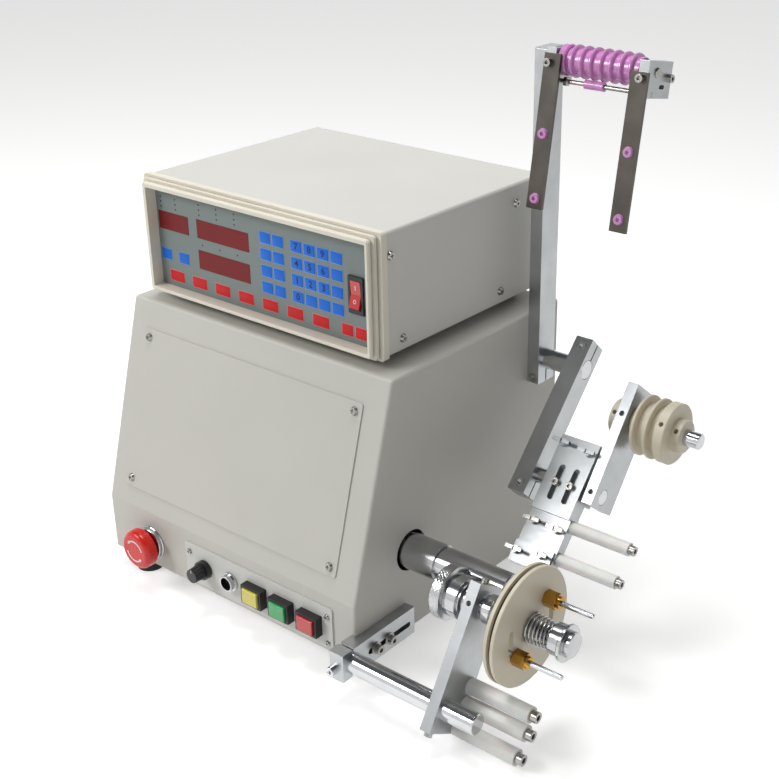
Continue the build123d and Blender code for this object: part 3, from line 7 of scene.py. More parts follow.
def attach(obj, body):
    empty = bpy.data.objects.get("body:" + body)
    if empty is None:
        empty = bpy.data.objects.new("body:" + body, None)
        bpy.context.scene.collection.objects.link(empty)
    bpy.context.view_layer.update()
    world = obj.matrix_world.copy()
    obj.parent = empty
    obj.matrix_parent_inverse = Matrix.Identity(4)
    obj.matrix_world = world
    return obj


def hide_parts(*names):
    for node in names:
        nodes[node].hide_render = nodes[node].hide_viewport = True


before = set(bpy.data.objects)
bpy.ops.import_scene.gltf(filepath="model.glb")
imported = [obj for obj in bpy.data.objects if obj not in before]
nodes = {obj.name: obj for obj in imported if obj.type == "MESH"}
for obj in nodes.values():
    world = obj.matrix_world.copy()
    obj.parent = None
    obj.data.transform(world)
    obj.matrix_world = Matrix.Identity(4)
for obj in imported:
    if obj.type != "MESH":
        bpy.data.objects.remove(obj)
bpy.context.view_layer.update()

millimetre = 0.001
midX = 0.254  # the cabinet's left side is this far left of the origin
midY = 0.125727  # and its front strip this far in front of it
footHeight = 0.020


def place(x, y, z):
    # a point given in millimetres from the cabinet's lower front left corner
    return Vector((x * millimetre - midX, y * millimetre - midY, z * millimetre + footHeight))


# small helpers


def linear(hexColour):
    # sRGB hex to the linear values that Blender works in
    value = hexColour.lstrip("#")
    channels = [int(value[i : i + 2], 16) / 255 for i in (0, 2, 4)]
    return tuple([c / 12.92 if c <= 0.04045 else ((c + 0.055) / 1.055) ** 2.4 for c in channels] + [1.0])


def addNode(tree, kind, inputs=None, **settings):
    made = tree.nodes.new(kind)
    for name, value in settings.items():
        setattr(made, name, value)
    for key, value in (inputs or {}).items():
        if isinstance(value, bpy.types.NodeSocket):
            tree.links.new(value, made.inputs[key])
        else:
            made.inputs[key].default_value = value
    return made


def startMaterial(name, colour, roughness, **settings):
    # a material with its shader and object coordinates; returns what the patterns link to
    material = bpy.data.materials.new(name)
    material.use_nodes = True
    material.diffuse_color = linear(colour)
    tree = material.node_tree
    shader = tree.nodes["Principled BSDF"]
    shader.inputs["Base Color"].default_value = linear(colour)
    shader.inputs["Roughness"].default_value = roughness
    for key, value in settings.items():
        shader.inputs[key.replace("_", " ")].default_value = value
    where = addNode(tree, "ShaderNodeTexCoord").outputs["Object"]
    return material, tree, shader, where


def tintedBy(tree, shader, factor, darkHex, lightHex):
    # base colour that runs between two tones
    blend = addNode(
        tree,
        "ShaderNodeMix",
        {0: factor, 6: linear(darkHex), 7: linear(lightHex)},
        data_type="RGBA",
    )
    tree.links.new(blend.outputs[2], shader.inputs["Base Color"])


def roughnessFrom(tree, shader, factor, low, high):
    spread = addNode(tree, "ShaderNodeMapRange", {"Value": factor, "To Min": low, "To Max": high})
    tree.links.new(spread.outputs["Result"], shader.inputs["Roughness"])


def bumpFrom(tree, shader, height, depthMm, strength, edgeMm=0.4):
    # surface relief on top of edges that catch light as if broken with a file
    rounded = addNode(tree, "ShaderNodeBevel", {"Radius": edgeMm * millimetre}, samples=4)
    bump = addNode(
        tree,
        "ShaderNodeBump",
        {
            "Height": height,
            "Distance": depthMm * millimetre,
            "Strength": strength,
            "Normal": rounded.outputs["Normal"],
        },
    )
    tree.links.new(bump.outputs["Normal"], shader.inputs["Normal"])


def edgeMask(tree, widthMm, gain):
    # near 1 on outer and inner edges, 0 on flats: how far the rounded normal leaves the true one
    rounded = addNode(tree, "ShaderNodeBevel", {"Radius": widthMm * millimetre}, samples=4)
    flat = addNode(tree, "ShaderNodeNewGeometry").outputs["Normal"]
    same = addNode(
        tree, "ShaderNodeVectorMath", {0: rounded.outputs["Normal"], 1: flat}, operation="DOT_PRODUCT"
    )
    turned = addNode(tree, "ShaderNodeMath", {0: 1.0, 1: same.outputs["Value"]}, operation="SUBTRACT")
    return addNode(
        tree, "ShaderNodeMath", {0: turned.outputs[0], 1: gain}, operation="MULTIPLY", use_clamp=True
    ).outputs[0]


def wearAndEdgeHighlightBy(tree, shader, mask, wearAndHighlightHex):
    # edges lightened towards another tone, partly wear and partly a painted highlight where edges catch
    # light, over whatever colour the shader already has
    before = shader.inputs["Base Color"].links[0].from_socket
    blend = addNode(tree, "ShaderNodeMix", {0: mask, 6: before, 7: linear(wearAndHighlightHex)}, data_type="RGBA")
    tree.links.new(blend.outputs[2], shader.inputs["Base Color"])


def perMetre(sizeMm):
    return 1.0 / (sizeMm * millimetre)


# materials

surface = {}


def powderCoatedSteel(name, dark, light):
    # polyester powder on sheet steel: fine even orange peel, soft broad sheen
    material, tree, shader, where = startMaterial(name, light, 0.46)
    peel = addNode(tree, "ShaderNodeTexNoise", {"Vector": where, "Scale": perMetre(1.6), "Detail": 3.0})
    cloud = addNode(tree, "ShaderNodeTexNoise", {"Vector": where, "Scale": perMetre(90), "Detail": 2.0})
    tintedBy(tree, shader, cloud.outputs["Fac"], dark, light)
    roughnessFrom(tree, shader, peel.outputs["Fac"], 0.40, 0.55)
    bumpFrom(tree, shader, peel.outputs["Fac"], 0.05, 0.35, 0.7)
    # lighter edges: wear plus a painted edge highlight
    wearAndEdgeHighlightBy(tree, shader, edgeMask(tree, 0.8, 0.8), light)
    return material


surface["cabinetGrey"] = powderCoatedSteel("powder_coated_steel_grey", "#C3C1BA", "#CBC9C2")
surface["caseGrey"] = powderCoatedSteel("powder_coated_steel_pale", "#CCCBC5", "#D3D2CC")
surface["stripGrey"] = powderCoatedSteel("powder_coated_steel_strip", "#CFCFCA", "#D6D6D1")


def mouldedPlastic(name, dark, light, roughness, grainMm=0.9):
    # injection moulded ABS: faint spark texture and slight change of tone in thick places
    material, tree, shader, where = startMaterial(name, light, roughness)
    grain = addNode(tree, "ShaderNodeTexNoise", {"Vector": where, "Scale": perMetre(grainMm), "Detail": 4.0})
    cloud = addNode(tree, "ShaderNodeTexNoise", {"Vector": where, "Scale": perMetre(40), "Detail": 1.0})
    tintedBy(tree, shader, cloud.outputs["Fac"], dark, light)
    roughnessFrom(tree, shader, grain.outputs["Fac"], roughness - 0.06, roughness + 0.08)
    bumpFrom(tree, shader, grain.outputs["Fac"], 0.03, 0.3)
    return material


surface["bezelCream"] = mouldedPlastic("moulded_abs_cream", "#DDD7C8", "#E6E1D4", 0.42)
surface["switchBlack"] = mouldedPlastic("moulded_nylon_black", "#0D0D0E", "#171718", 0.45)
surface["knobBlack"] = mouldedPlastic("moulded_phenolic_black", "#0B0B0C", "#141415", 0.30)
surface["turnedCream"] = mouldedPlastic("turned_acetal_cream", "#D3CAB4", "#DDD5C1", 0.40, 1.4)
surface["stopRed"] = mouldedPlastic("moulded_abs_red", "#C9140C", "#DA1A10", 0.26)
surface["footRubber"] = mouldedPlastic("moulded_rubber_black", "#0B0B0B", "#151515", 0.70)
surface["beltRubber"] = mouldedPlastic("belt_rubber", "#0C0C0C", "#161616", 0.75)


def glossyLens(name, dark, light):
    # clear polycarbonate over a coloured diffuser: bright even face with a hard clear gloss
    material, tree, shader, where = startMaterial(name, light, 0.24, Coat_Weight=0.6, Coat_Roughness=0.08)
    cloud = addNode(tree, "ShaderNodeTexNoise", {"Vector": where, "Scale": perMetre(7), "Detail": 2.0})
    tintedBy(tree, shader, cloud.outputs["Fac"], dark, light)
    bumpFrom(tree, shader, cloud.outputs["Fac"], 0.05, 0.12)
    return material


surface["lensYellow"] = glossyLens("polycarbonate_lens_yellow", "#C9BC3E", "#DED35A")
surface["lensGreen"] = glossyLens("polycarbonate_lens_green", "#128F48", "#1FB562")
surface["lensRed"] = glossyLens("polycarbonate_lens_red", "#B31214", "#CE1D1C")
surface["rockerRed"] = glossyLens("polycarbonate_rocker_red", "#B80D0C", "#D4140F")


def printedFilm(name, dark, light):
    # matt polyester film printed from behind: very fine velvet grain, low sheen
    material, tree, shader, where = startMaterial(name, light, 0.46, Specular_IOR_Level=0.28)
    grain = addNode(tree, "ShaderNodeTexNoise", {"Vector": where, "Scale": perMetre(0.8), "Detail": 4.0})
    cloud = addNode(tree, "ShaderNodeTexNoise", {"Vector": where, "Scale": perMetre(60), "Detail": 2.0})
    tintedBy(tree, shader, cloud.outputs["Fac"], dark, light)
    bumpFrom(tree, shader, grain.outputs["Fac"], 0.02, 0.3)
    return material


surface["filmGrey"] = printedFilm("printed_polyester_grey", "#788280", "#838D8B")
surface["keyBlue"] = printedFilm("screen_print_blue", "#0F62CC", "#1A72DC")
surface["keyRed"] = printedFilm("screen_print_red", "#C4151A", "#D62226")
surface["keyBlueEdge"] = printedFilm("screen_print_pale_blue", "#6F9AD2", "#82A9DC")
surface["keyRedEdge"] = printedFilm("screen_print_pale_red", "#D07C7E", "#DC9090")
surface["printWhite"] = printedFilm("screen_print_white", "#DADBD8", "#ECECEA")
surface["windowRed"] = printedFilm("printed_filter_red", "#6A080D", "#7E0C12")


def workedMetal(name, dark, light, roughness, stretch, grainMm, depthMm, strength=0.3):
    # bare metal with tool marks: stretch is how long the marks run along x, y and z in millimetres
    material, tree, shader, where = startMaterial(name, light, roughness, Metallic=1.0)
    marks = addNode(tree, "ShaderNodeMapping", {"Vector": where, "Scale": [grainMm / s for s in stretch]})
    lines = addNode(
        tree,
        "ShaderNodeTexNoise",
        {"Vector": marks.outputs["Vector"], "Scale": perMetre(grainMm), "Detail": 5.0, "Roughness": 0.6},
    )
    handling = addNode(tree, "ShaderNodeTexNoise", {"Vector": where, "Scale": perMetre(22), "Detail": 3.0})
    tintedBy(tree, shader, handling.outputs["Fac"], dark, light)
    roughnessFrom(tree, shader, lines.outputs["Fac"], max(0.03, roughness - 0.08), roughness + 0.10)
    bumpFrom(tree, shader, lines.outputs["Fac"], depthMm, strength)
    # lighter edges: wear plus a painted edge highlight
    wearAndEdgeHighlightBy(tree, shader, edgeMask(tree, 0.5, 2.0), light)
    return material


surface["chromedRod"] = workedMetal("hard_chromed_steel", "#B9BBBE", "#D9DADC", 0.10, (0.6, 9, 9), 0.6, 0.004)
surface["turnedSteel"] = workedMetal(
    "turned_nickel_plated_steel", "#A9AAAC", "#CDCED0", 0.16, (0.5, 12, 12), 0.5, 0.010
)
surface["millAluminium"] = workedMetal(
    "milled_aluminium", "#9DA0A2", "#BFC2C4", 0.32, (14, 1, 18), 0.7, 0.012
)
surface["brushedAluminium"] = workedMetal(
    "brushed_aluminium", "#A3A6A8", "#C6C9CB", 0.30, (0.7, 22, 22), 0.7, 0.012
)
surface["darkSteel"] = workedMetal(
    "blued_spring_steel", "#4B4743", "#6A655F", 0.30, (0.8, 20, 30), 0.8, 0.012
)
surface["screwSteel"] = workedMetal("zinc_plated_steel", "#8F8E8A", "#BBBAB6", 0.24, (1, 1, 1), 0.6, 0.008)
surface["hexBrass"] = workedMetal("drawn_brass", "#9C7230", "#CFA04C", 0.22, (12, 0.8, 0.8), 0.6, 0.010)
surface["springSteel"] = workedMetal("drawn_spring_steel", "#8F9092", "#C4C5C7", 0.16, (1, 1, 1), 0.5, 0.004)
surface["castIron"] = workedMetal("machined_cast_iron", "#55565A", "#77787C", 0.5, (1, 1, 1), 1.2, 0.04)


def drawnNylon():
    # natural nylon tube: milky, light scatters a little inside, soft sheen
    material, tree, shader, where = startMaterial(
        "drawn_nylon_natural", "#E6E6E2", 0.38, Subsurface_Weight=0.35, Subsurface_Scale=0.004
    )
    milk = addNode(tree, "ShaderNodeTexNoise", {"Vector": where, "Scale": perMetre(12), "Detail": 2.0})
    tintedBy(tree, shader, milk.outputs["Fac"], "#DCDCD8", "#EEEEEA")
    roughnessFrom(tree, shader, milk.outputs["Fac"], 0.32, 0.45)
    return material


surface["nylon"] = drawnNylon()


def glazedCeramic():
    # pink alumina with a ground and polished face: glassy highlights, colour even and deep
    material, tree, shader, where = startMaterial(
        "polished_alumina_pink",
        "#D08CC8",
        0.22,
        Coat_Weight=0.5,
        Coat_Roughness=0.10,
        Subsurface_Weight=0.08,
        Subsurface_Scale=0.002,
    )
    cloud = addNode(tree, "ShaderNodeTexNoise", {"Vector": where, "Scale": perMetre(9), "Detail": 3.0})
    tintedBy(tree, shader, cloud.outputs["Fac"], "#BF7AB8", "#DB9AD2")
    return material


surface["pinkCeramic"] = glazedCeramic()
surface["boardGreen"] = mouldedPlastic("epoxy_board_green", "#0F5A30", "#17703E", 0.35)
surface["motorBlack"] = powderCoatedSteel("powder_coated_motor_black", "#141416", "#1E1E20")
print("materials made:", len(surface))

finishOf = {
    "cabinetGrey": ("cabinet_shell", "base_plate", "back_cover", "access_cover"),
    "caseGrey": ("case_cover", "case_chassis"),
    "stripGrey": ("button_plate",),
    "bezelCream": ("front_bezel",),
    "footRubber": ("rubber_feet",),
    "switchBlack": ("switch_bezels", "control_bodies", "power_inlet"),
    "knobBlack": ("speed_knob",),
    "stopRed": ("estop_head",),
    "lensYellow": ("button_yellow",),
    "lensGreen": ("button_green",),
    "lensRed": ("button_red",),
    "rockerRed": ("power_rocker",),
    "filmGrey": ("keypad_film",),
    "windowRed": ("display_windows",),
    "boardGreen": ("control_board",),
    "motorBlack": ("drive_motor",),
    "beltRubber": ("drive_belt",),
    "castIron": ("bearing_blocks",),
    "chromedRod": ("upper_rod", "lower_rod", "link_rod", "pulley_shaft", "mandrel", "drive_pins"),
    "turnedSteel": (
        "main_spindle",
        "chuck_body",
        "end_collar",
        "pedal_socket",
        "plate_bearing",
        "knurled_collar",
    ),
    "screwSteel": ("fixing_screws", "bracket_screws", "guide_screws", "head_rods"),
    "millAluminium": ("swing_plate", "pulley_arm", "guide_plates", "slotted_plate", "head_blocks"),
    "brushedAluminium": (
        "guide_post",
        "swing_arm",
        "bracket_bar",
        "motor_pulley",
        "spindle_pulley",
        "front_panel",
    ),
    "darkSteel": ("hanging_bars",),
    "hexBrass": ("brass_posts",),
    "springSteel": ("spring",),
    "turnedCream": ("grooved_disc", "wire_pulley"),
    "nylon": ("lower_tubes", "upper_tubes"),
    "pinkCeramic": ("wire_roller", "eyelets"),
}
for finish, names in finishOf.items():
    for name in names:
        slots = nodes[name].data.materials
        slots.clear()
        slots.append(surface[finish])
print("frame nodes dressed:", sum(len(names) for names in finishOf.values()), "of", len(nodes))


# finished pieces


def finishPiece(name, shape, finish, body, smoothAngle=35.0, replaced=()):
    # turns a bmesh into an object with clean outward faces that rides on a body
    bmesh.ops.remove_doubles(shape, verts=shape.verts, dist=0.000004)
    bmesh.ops.recalc_face_normals(shape, faces=shape.faces)
    mesh = bpy.data.meshes.new(name)
    for face in shape.faces:
        face.smooth = True
    shape.to_mesh(mesh)
    shape.free()
    mesh.set_sharp_from_angle(angle=radians(smoothAngle))
    mesh.materials.append(surface[finish])
    piece = bpy.data.objects.new(name, mesh)
    bpy.context.scene.collection.objects.link(piece)
    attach(piece, body)
    if replaced:
        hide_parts(*replaced)
    return piece


def addBox(shape, low, high, bevelMm=0.0, segments=2):
    made = bmesh.ops.create_cube(shape, size=1.0)["verts"]
    centre = (low + high) / 2
    spans = high - low
    bmesh.ops.scale(shape, vec=[abs(s) for s in spans], verts=made)
    bmesh.ops.translate(shape, vec=centre, verts=made)
    if bevelMm:
        edges = list({e for v in made for e in v.link_edges})
        bmesh.ops.bevel(
            shape,
            geom=edges,
            offset=bevelMm * millimetre,
            segments=segments,
            profile=0.5,
            affect="EDGES",
            material=-1,
        )


def addTurned(shape, outline, centre, axis, sideways, steps=64):
    # spins pairs of (distance along the axis, radius), in millimetres, into a closed turned form
    spots = [centre + axis * (a * millimetre) + sideways * (r * millimetre) for a, r in outline]
    made = [shape.verts.new(spot) for spot in spots]
    edges = [shape.edges.new(pair) for pair in zip(made, made[1:])]
    bmesh.ops.spin(
        shape,
        geom=made + edges,
        cent=centre,
        axis=axis,
        angle=2 * pi,
        steps=steps,
        use_merge=True,
        use_duplicate=False,
    )


# keypad: raised keys with a printed outline, digits and small indicator dots

keypad = {
    "caseLow": 251.2,
    "filmFront": 68.6,
    "keyRise": 0.62,
    "outlineRise": 0.22,
    "outlineWidth": 0.75,
    "blueSize": (12.2, 9.6),
    "redSize": (17.8, 9.6),
    "smallSize": (11.8, 9.6),
    "digitHeight": 6.2,
    "digitScale": 1.35,
    "digitThicker": 0.12,
    "digitDeep": 0.06,
    "dotRadius": 0.75,
    "dotRise": 0.22,
}
# places of the keys and dots, across from the cabinet's left and up from the foot of the case
blueKeys = [(33.4 + n * 23.0, 33.5) for n in range(2)]
blueKeys += [(161.1 + n * 15.0, 74.4 - m * 14.8) for n in range(2) for m in range(4)]
numberKeys = [(197.2 + n * 15.0, 74.2 - m * 14.75) for m in range(4) for n in range(4)]
redKeys = [(45.2 + n * 29.5, 14.4) for n in range(7)]
smallKeys = [(252.0, 14.4), (266.9, 14.4)]
digitPlaces = {"7": (0, 0), "8": (1, 0), "9": (2, 0), "4": (0, 1), "5": (1, 1), "6": (2, 1)}
digitPlaces.update({"1": (0, 2), "2": (1, 2), "3": (2, 2), "0": (0, 3)})
indicatorDots = [(31.0 + 19.0 * n, 86.6 - 4.6 * m) for n in range(2) for m in range(3)]
indicatorDots += [(80.5 + 22.0 * n, 87.6 - 4.6 * m) for n in range(3) for m in range(3)]
indicatorDots += [(82.0 + 22.0 * n, 51.2) for n in range(3)]


def addKey(shape, across, up, size, rise, grow=0.0, bevelMm=0.35):
    y = keypad["filmFront"]
    halfWide = size[0] / 2 + grow
    halfHigh = size[1] / 2 + grow
    low = place(across - halfWide, y - rise, keypad["caseLow"] + up - halfHigh)
    high = place(across + halfWide, y + 0.05, keypad["caseLow"] + up + halfHigh)
    addBox(shape, low, high, bevelMm)


def makeKeys():
    outline = keypad["outlineWidth"]
    rise = keypad["keyRise"]
    groups = (
        ("blueKeys", blueKeys + numberKeys, keypad["blueSize"], "keyBlue", "keyBlueEdge"),
        ("redKeys", redKeys, keypad["redSize"], "keyRed", "keyRedEdge"),
        ("smallRedKeys", smallKeys, keypad["smallSize"], "keyRed", "keyRedEdge"),
    )
    for name, places, size, finish, edgeFinish in groups:
        caps = bmesh.new()
        frames = bmesh.new()
        for across, up in places:
            addKey(caps, across, up, size, rise)
            addKey(frames, across, up, size, keypad["outlineRise"], outline, 0.15)
        finishPiece(name, caps, finish, "cabinet")
        finishPiece(name + "Outline", frames, edgeFinish, "cabinet")


def makeDigits():
    shape = bmesh.new()
    for digit, (column, row) in digitPlaces.items():
        curve = bpy.data.curves.new("digit" + digit, "FONT")
        curve.body = digit
        curve.size = keypad["digitHeight"] * keypad["digitScale"] * millimetre
        curve.align_x = "CENTER"
        curve.align_y = "CENTER"
        curve.offset = keypad["digitThicker"] * millimetre
        curve.extrude = keypad["digitDeep"] * millimetre
        writing = bpy.data.objects.new("digit" + digit, curve)
        bpy.context.scene.collection.objects.link(writing)
        bpy.context.view_layer.update()
        mesh = bpy.data.meshes.new_from_object(writing.evaluated_get(bpy.context.evaluated_depsgraph_get()))
        across, up = numberKeys[row * 4 + column]
        centre = place(across, keypad["filmFront"] - keypad["keyRise"] - 0.02, keypad["caseLow"] + up)
        mesh.transform(Matrix.Translation(centre) @ Matrix.Rotation(pi / 2, 4, "X"))
        shape.from_mesh(mesh)
        bpy.data.objects.remove(writing)
        bpy.data.meshes.remove(mesh)
    finishPiece("keyDigits", shape, "printNavy", "cabinet")


def makeDots():
    shape = bmesh.new()
    for across, up in indicatorDots:
        centre = place(across, keypad["filmFront"], keypad["caseLow"] + up)
        radius = keypad["dotRadius"]
        top = keypad["dotRise"]
        outline = [(-0.05, 0.0), (-0.05, radius), (top - 0.1, radius), (top, radius * 0.6), (top, 0.0)]
        addTurned(shape, outline, centre, Vector((0, -1, 0)), Vector((1, 0, 0)), 12)
    finishPiece("indicatorDots", shape, "dotBlack", "cabinet")


surface["printNavy"] = printedFilm("screen_print_navy", "#0A1F4A", "#10285C")
surface["dotBlack"] = printedFilm("screen_print_black", "#151615", "#202120")
makeKeys()
makeDigits()
makeDots()
print("keypad finished")


# power rocker marks: a bar on the upper half and a ring on the lower one

rocker = {
    "x": 263.4,
    "pivotY": 72.6,
    "midZ": 298.5,
    "tilt": 6.0,
    "faceOut": 5.6,
    "tipOut": 7.5,
    "tipUp": 11.5,
    "barHeight": 4.4,
    "barWidth": 0.9,
    "ringRadius": 1.7,
    "ringWidth": 0.7,
    "markSunk": 0.05,
    "markRise": 0.12,
}


def onRocker(across, up):
    turn = radians(rocker["tilt"])
    return place(
        rocker["x"],
        rocker["pivotY"] + across * cos(turn) + up * sin(turn),
        rocker["midZ"] - across * sin(turn) + up * cos(turn),
    )


def makeRockerMarks():
    shape = bmesh.new()
    markOut = (rocker["faceOut"] + rocker["tipOut"]) / 2
    middle = onRocker(-rocker["faceOut"], 0.0)
    upper = (onRocker(-markOut, rocker["tipUp"] / 2), onRocker(-rocker["tipOut"], rocker["tipUp"]) - middle)
    lower = (onRocker(-markOut, -rocker["tipUp"] / 2), middle - onRocker(-rocker["tipOut"], -rocker["tipUp"]))
    for mark, (centre, along) in (("bar", upper), ("ring", lower)):
        along.normalize()
        outward = along.cross(Vector((1, 0, 0)))
        if outward.y > 0:
            outward.negate()
        if mark == "bar":
            half = Vector((rocker["barWidth"] / 2, 0, 0)) * millimetre
            reach = along * (rocker["barHeight"] / 2 * millimetre)
            sunk = outward * (rocker["markSunk"] * millimetre)
            corners = [centre + a * half + b * reach for a, b in ((-1, -1), (1, -1), (1, 1), (-1, 1))]
            face = shape.faces.new([shape.verts.new(c - sunk) for c in corners])
            raised = bmesh.ops.extrude_face_region(shape, geom=[face])["geom"]
            risen = outward * ((rocker["markSunk"] + rocker["markRise"]) * millimetre)
            moved = [v for v in raised if isinstance(v, bmesh.types.BMVert)]
            bmesh.ops.translate(shape, vec=risen, verts=moved)
        else:
            outer = rocker["ringRadius"]
            inner = outer - rocker["ringWidth"]
            low = -rocker["markSunk"]
            high = rocker["markRise"]
            outline = [(low, inner), (high, inner), (high, outer), (low, outer), (low, inner)]
            addTurned(shape, outline, centre, outward, Vector((1, 0, 0)), 24)
    finishPiece("rockerMarks", shape, "printWhite", "rocker")


makeRockerMarks()


# emergency stop: white turning arrows on the head and a polished collar behind it

stopHead = {
    "x": 56.8,
    "z": 23.7,
    "face": -22.0,
    "arcRadius": 10.2,
    "arcWidth": 1.5,
    "arcThick": 0.25,
    "starts": (12.0, 192.0),
    "sweep": 118.0,
    "arrowHalf": 2.0,
    "arrowSweep": 18.0,
    "tipOut": 0.2,
    "collarOuter": 16.4,
    "collarInner": 14.4,
    "lipInner": 12.5,
    "lipThick": 0.2,
    "collarHigh": 5.1,
}


def onStopFace(radius, angle):
    # a point on the head's flat face, by distance from its axis in millimetres and angle in degrees
    turn = radians(angle)
    centre = place(stopHead["x"], stopHead["face"], stopHead["z"])
    return centre + Vector((radius * cos(turn), 0.0, radius * sin(turn))) * millimetre


def makeStopArrows():
    shape = bmesh.new()
    middle = stopHead["arcRadius"]
    inner = middle - stopHead["arcWidth"] / 2
    outer = middle + stopHead["arcWidth"] / 2
    for start in stopHead["starts"]:
        # the band starts as one edge that is spun round the head's axis
        ends = [shape.verts.new(onStopFace(inner, start)), shape.verts.new(onStopFace(outer, start))]
        edge = shape.edges.new(ends)
        bmesh.ops.spin(
            shape,
            geom=ends + [edge],
            cent=place(stopHead["x"], stopHead["face"], stopHead["z"]),
            axis=(0, -1, 0),
            angle=radians(stopHead["sweep"]),
            steps=20,
            use_merge=False,
            use_duplicate=False,
        )
        root = start + stopHead["sweep"] - 1
        half = stopHead["arrowHalf"]
        tip = onStopFace(middle + stopHead["tipOut"], root + stopHead["arrowSweep"])
        head = [onStopFace(middle - half, root), onStopFace(middle + half, root), tip]
        shape.faces.new([shape.verts.new(corner) for corner in head])
    thick = stopHead["arcThick"] * millimetre
    bmesh.ops.solidify(shape, geom=shape.faces[:], thickness=thick)
    bmesh.ops.translate(shape, vec=(0, -0.48 * thick, 0), verts=shape.verts)
    finishPiece("stopArrows", shape, "printWhite", "stop_button")


def makeStopCollar():
    shape = bmesh.new()
    centre = place(stopHead["x"], 0.0, stopHead["z"])
    inner = stopHead["collarInner"]
    outer = stopHead["collarOuter"]
    high = stopHead["collarHigh"]
    lip = high - stopHead["lipThick"]
    outline = [(0.0, inner), (0.0, outer), (1.2, outer), (1.8, outer - 0.6), (high - 0.5, outer - 1.0)]
    outline += [(high, outer - 1.5), (high, stopHead["lipInner"]), (lip, stopHead["lipInner"])]
    outline += [(lip, inner), (0.0, inner)]
    addTurned(shape, outline, centre, Vector((0, -1, 0)), Vector((1, 0, 0)), 72)
    finishPiece("stopCollar", shape, "turnedSteel", "cabinet")


makeStopArrows()
makeStopCollar()
print("stop button finished")


# knurled ring on the chuck: diamond knurl cut into the rim, replacing the plain CAD ring

ring = {
    "x": 380.0,
    "y": 35.0,
    "z": 83.511,
    "width": 10.0,
    "radius": 23.03,
    "bore": 16.05,
    "around": 176,
    "along": 16,
    "depth": 0.42,
    "pitches": 44,
    "plainEdge": 1.0,
    "roundAlong": 0.35,
    "roundDown": 0.45,
}


def makeKnurledRing():
    shape = bmesh.new()
    centre = place(ring["x"], ring["y"], ring["z"])
    count = ring["along"]
    edge = ring["plainEdge"]
    knurlFrom = edge
    knurlLong = ring["width"] - 2 * edge
    shoulder = ring["radius"] - ring["roundDown"]
    outline = [(0.0, ring["bore"]), (0.0, ring["radius"] - edge), (ring["roundAlong"], shoulder)]
    outline += [(knurlFrom + knurlLong * n / count, ring["radius"]) for n in range(count + 1)]
    outline += [(ring["width"] - ring["roundAlong"], shoulder), (ring["width"], ring["radius"] - edge)]
    outline += [(ring["width"], ring["bore"]), (0.0, ring["bore"])]
    addTurned(shape, outline, centre, Vector((1, 0, 0)), Vector((0, 1, 0)), ring["around"])
    bmesh.ops.remove_doubles(shape, verts=shape.verts, dist=0.000004)
    pitch = 2 * pi / ring["pitches"]
    for vert in shape.verts:
        offset = vert.co - centre
        outward = Vector((0.0, offset.y, offset.z))
        radius = outward.length / millimetre
        along = offset.x / millimetre
        if radius < ring["radius"] - 0.2 or not knurlFrom < along < knurlFrom + knurlLong:
            continue
        angle = atan2(offset.z, offset.y)
        lead = along / ring["radius"]
        first = abs(((angle + lead) / pitch) % 1.0 - 0.5) * 2
        second = abs(((angle - lead) / pitch) % 1.0 - 0.5) * 2
        cut = ring["depth"] * (1.0 - min(first, second))
        vert.co -= outward.normalized() * (cut * millimetre)
    finishPiece("knurledRing", shape, "knurledSteel", "chuck", 50.0, ("knurled_collar",))


surface["knurledSteel"] = workedMetal(
    "knurled_nickel_plated_steel", "#A2A3A5", "#CFD0D1", 0.20, (1, 1, 1), 0.4, 0.006
)
makeKnurledRing()
print("knurled ring finished")


# grooved disc: dark band at the bottom of the groove, a painted shade for the shade that falls in the groove

band = {"low": 457.36, "high": 460.64, "inner": 45.03, "outer": 46.1, "broken": 0.3}


def makeGrooveBand():
    shape = bmesh.new()
    centre = place(band["low"], ring["y"], ring["z"])
    width = band["high"] - band["low"]
    inner = band["inner"]
    outer = band["outer"]
    edge = band["broken"]
    outline = [(0.0, inner), (0.0, outer - edge), (edge, outer), (width - edge, outer), (width, outer - edge)]
    outline += [(width, inner), (0.0, inner)]
    addTurned(shape, outline, centre, Vector((1, 0, 0)), Vector((0, 1, 0)), 128)
    finishPiece("grooveShadeBand", shape, "grooveShadeOlive", "disc", 35.0)


# dark olive-black colour of the band is painted shade in the groove
surface["grooveShadeOlive"] = mouldedPlastic("painted_groove_shade_olive", "#37342A", "#4A4638", 0.62, 0.7)
makeGrooveBand()


# speed knob: white pointer line on the face, which the frame's own knob gives the place of

knob = {"x": 130.7, "z": 23.7, "pointerWide": 0.9, "pointerFrom": 3.8, "pointerTo": 6.6, "rise": 0.2}


def makeKnobPointer():
    shape = bmesh.new()
    half = knob["pointerWide"] / 2
    face = min((nodes["speed_knob"].matrix_world @ v.co).y for v in nodes["speed_knob"].data.vertices)
    low = place(knob["x"] - half, 0, knob["z"] + knob["pointerFrom"])
    high = place(knob["x"] + half, 0, knob["z"] + knob["pointerTo"])
    low.y = face - knob["rise"] * millimetre
    high.y = face + 2 * knob["rise"] * millimetre
    addBox(shape, low, high, 0.12)
    finishPiece("knobPointer", shape, "printWhite", "knob", 35.0)


makeKnobPointer()
print("groove band and knob pointer finished")


# conical spring: one smooth wound wire with closed ends, replacing the CAD coil

coil = {
    "start": 464.97,
    "end": 486.03,
    "turns": 6.5,
    "pointsPerTurn": 16,
    "wideRadius": 12.6,
    "narrowRadius": 10.4,
    "wire": 1.9,
}


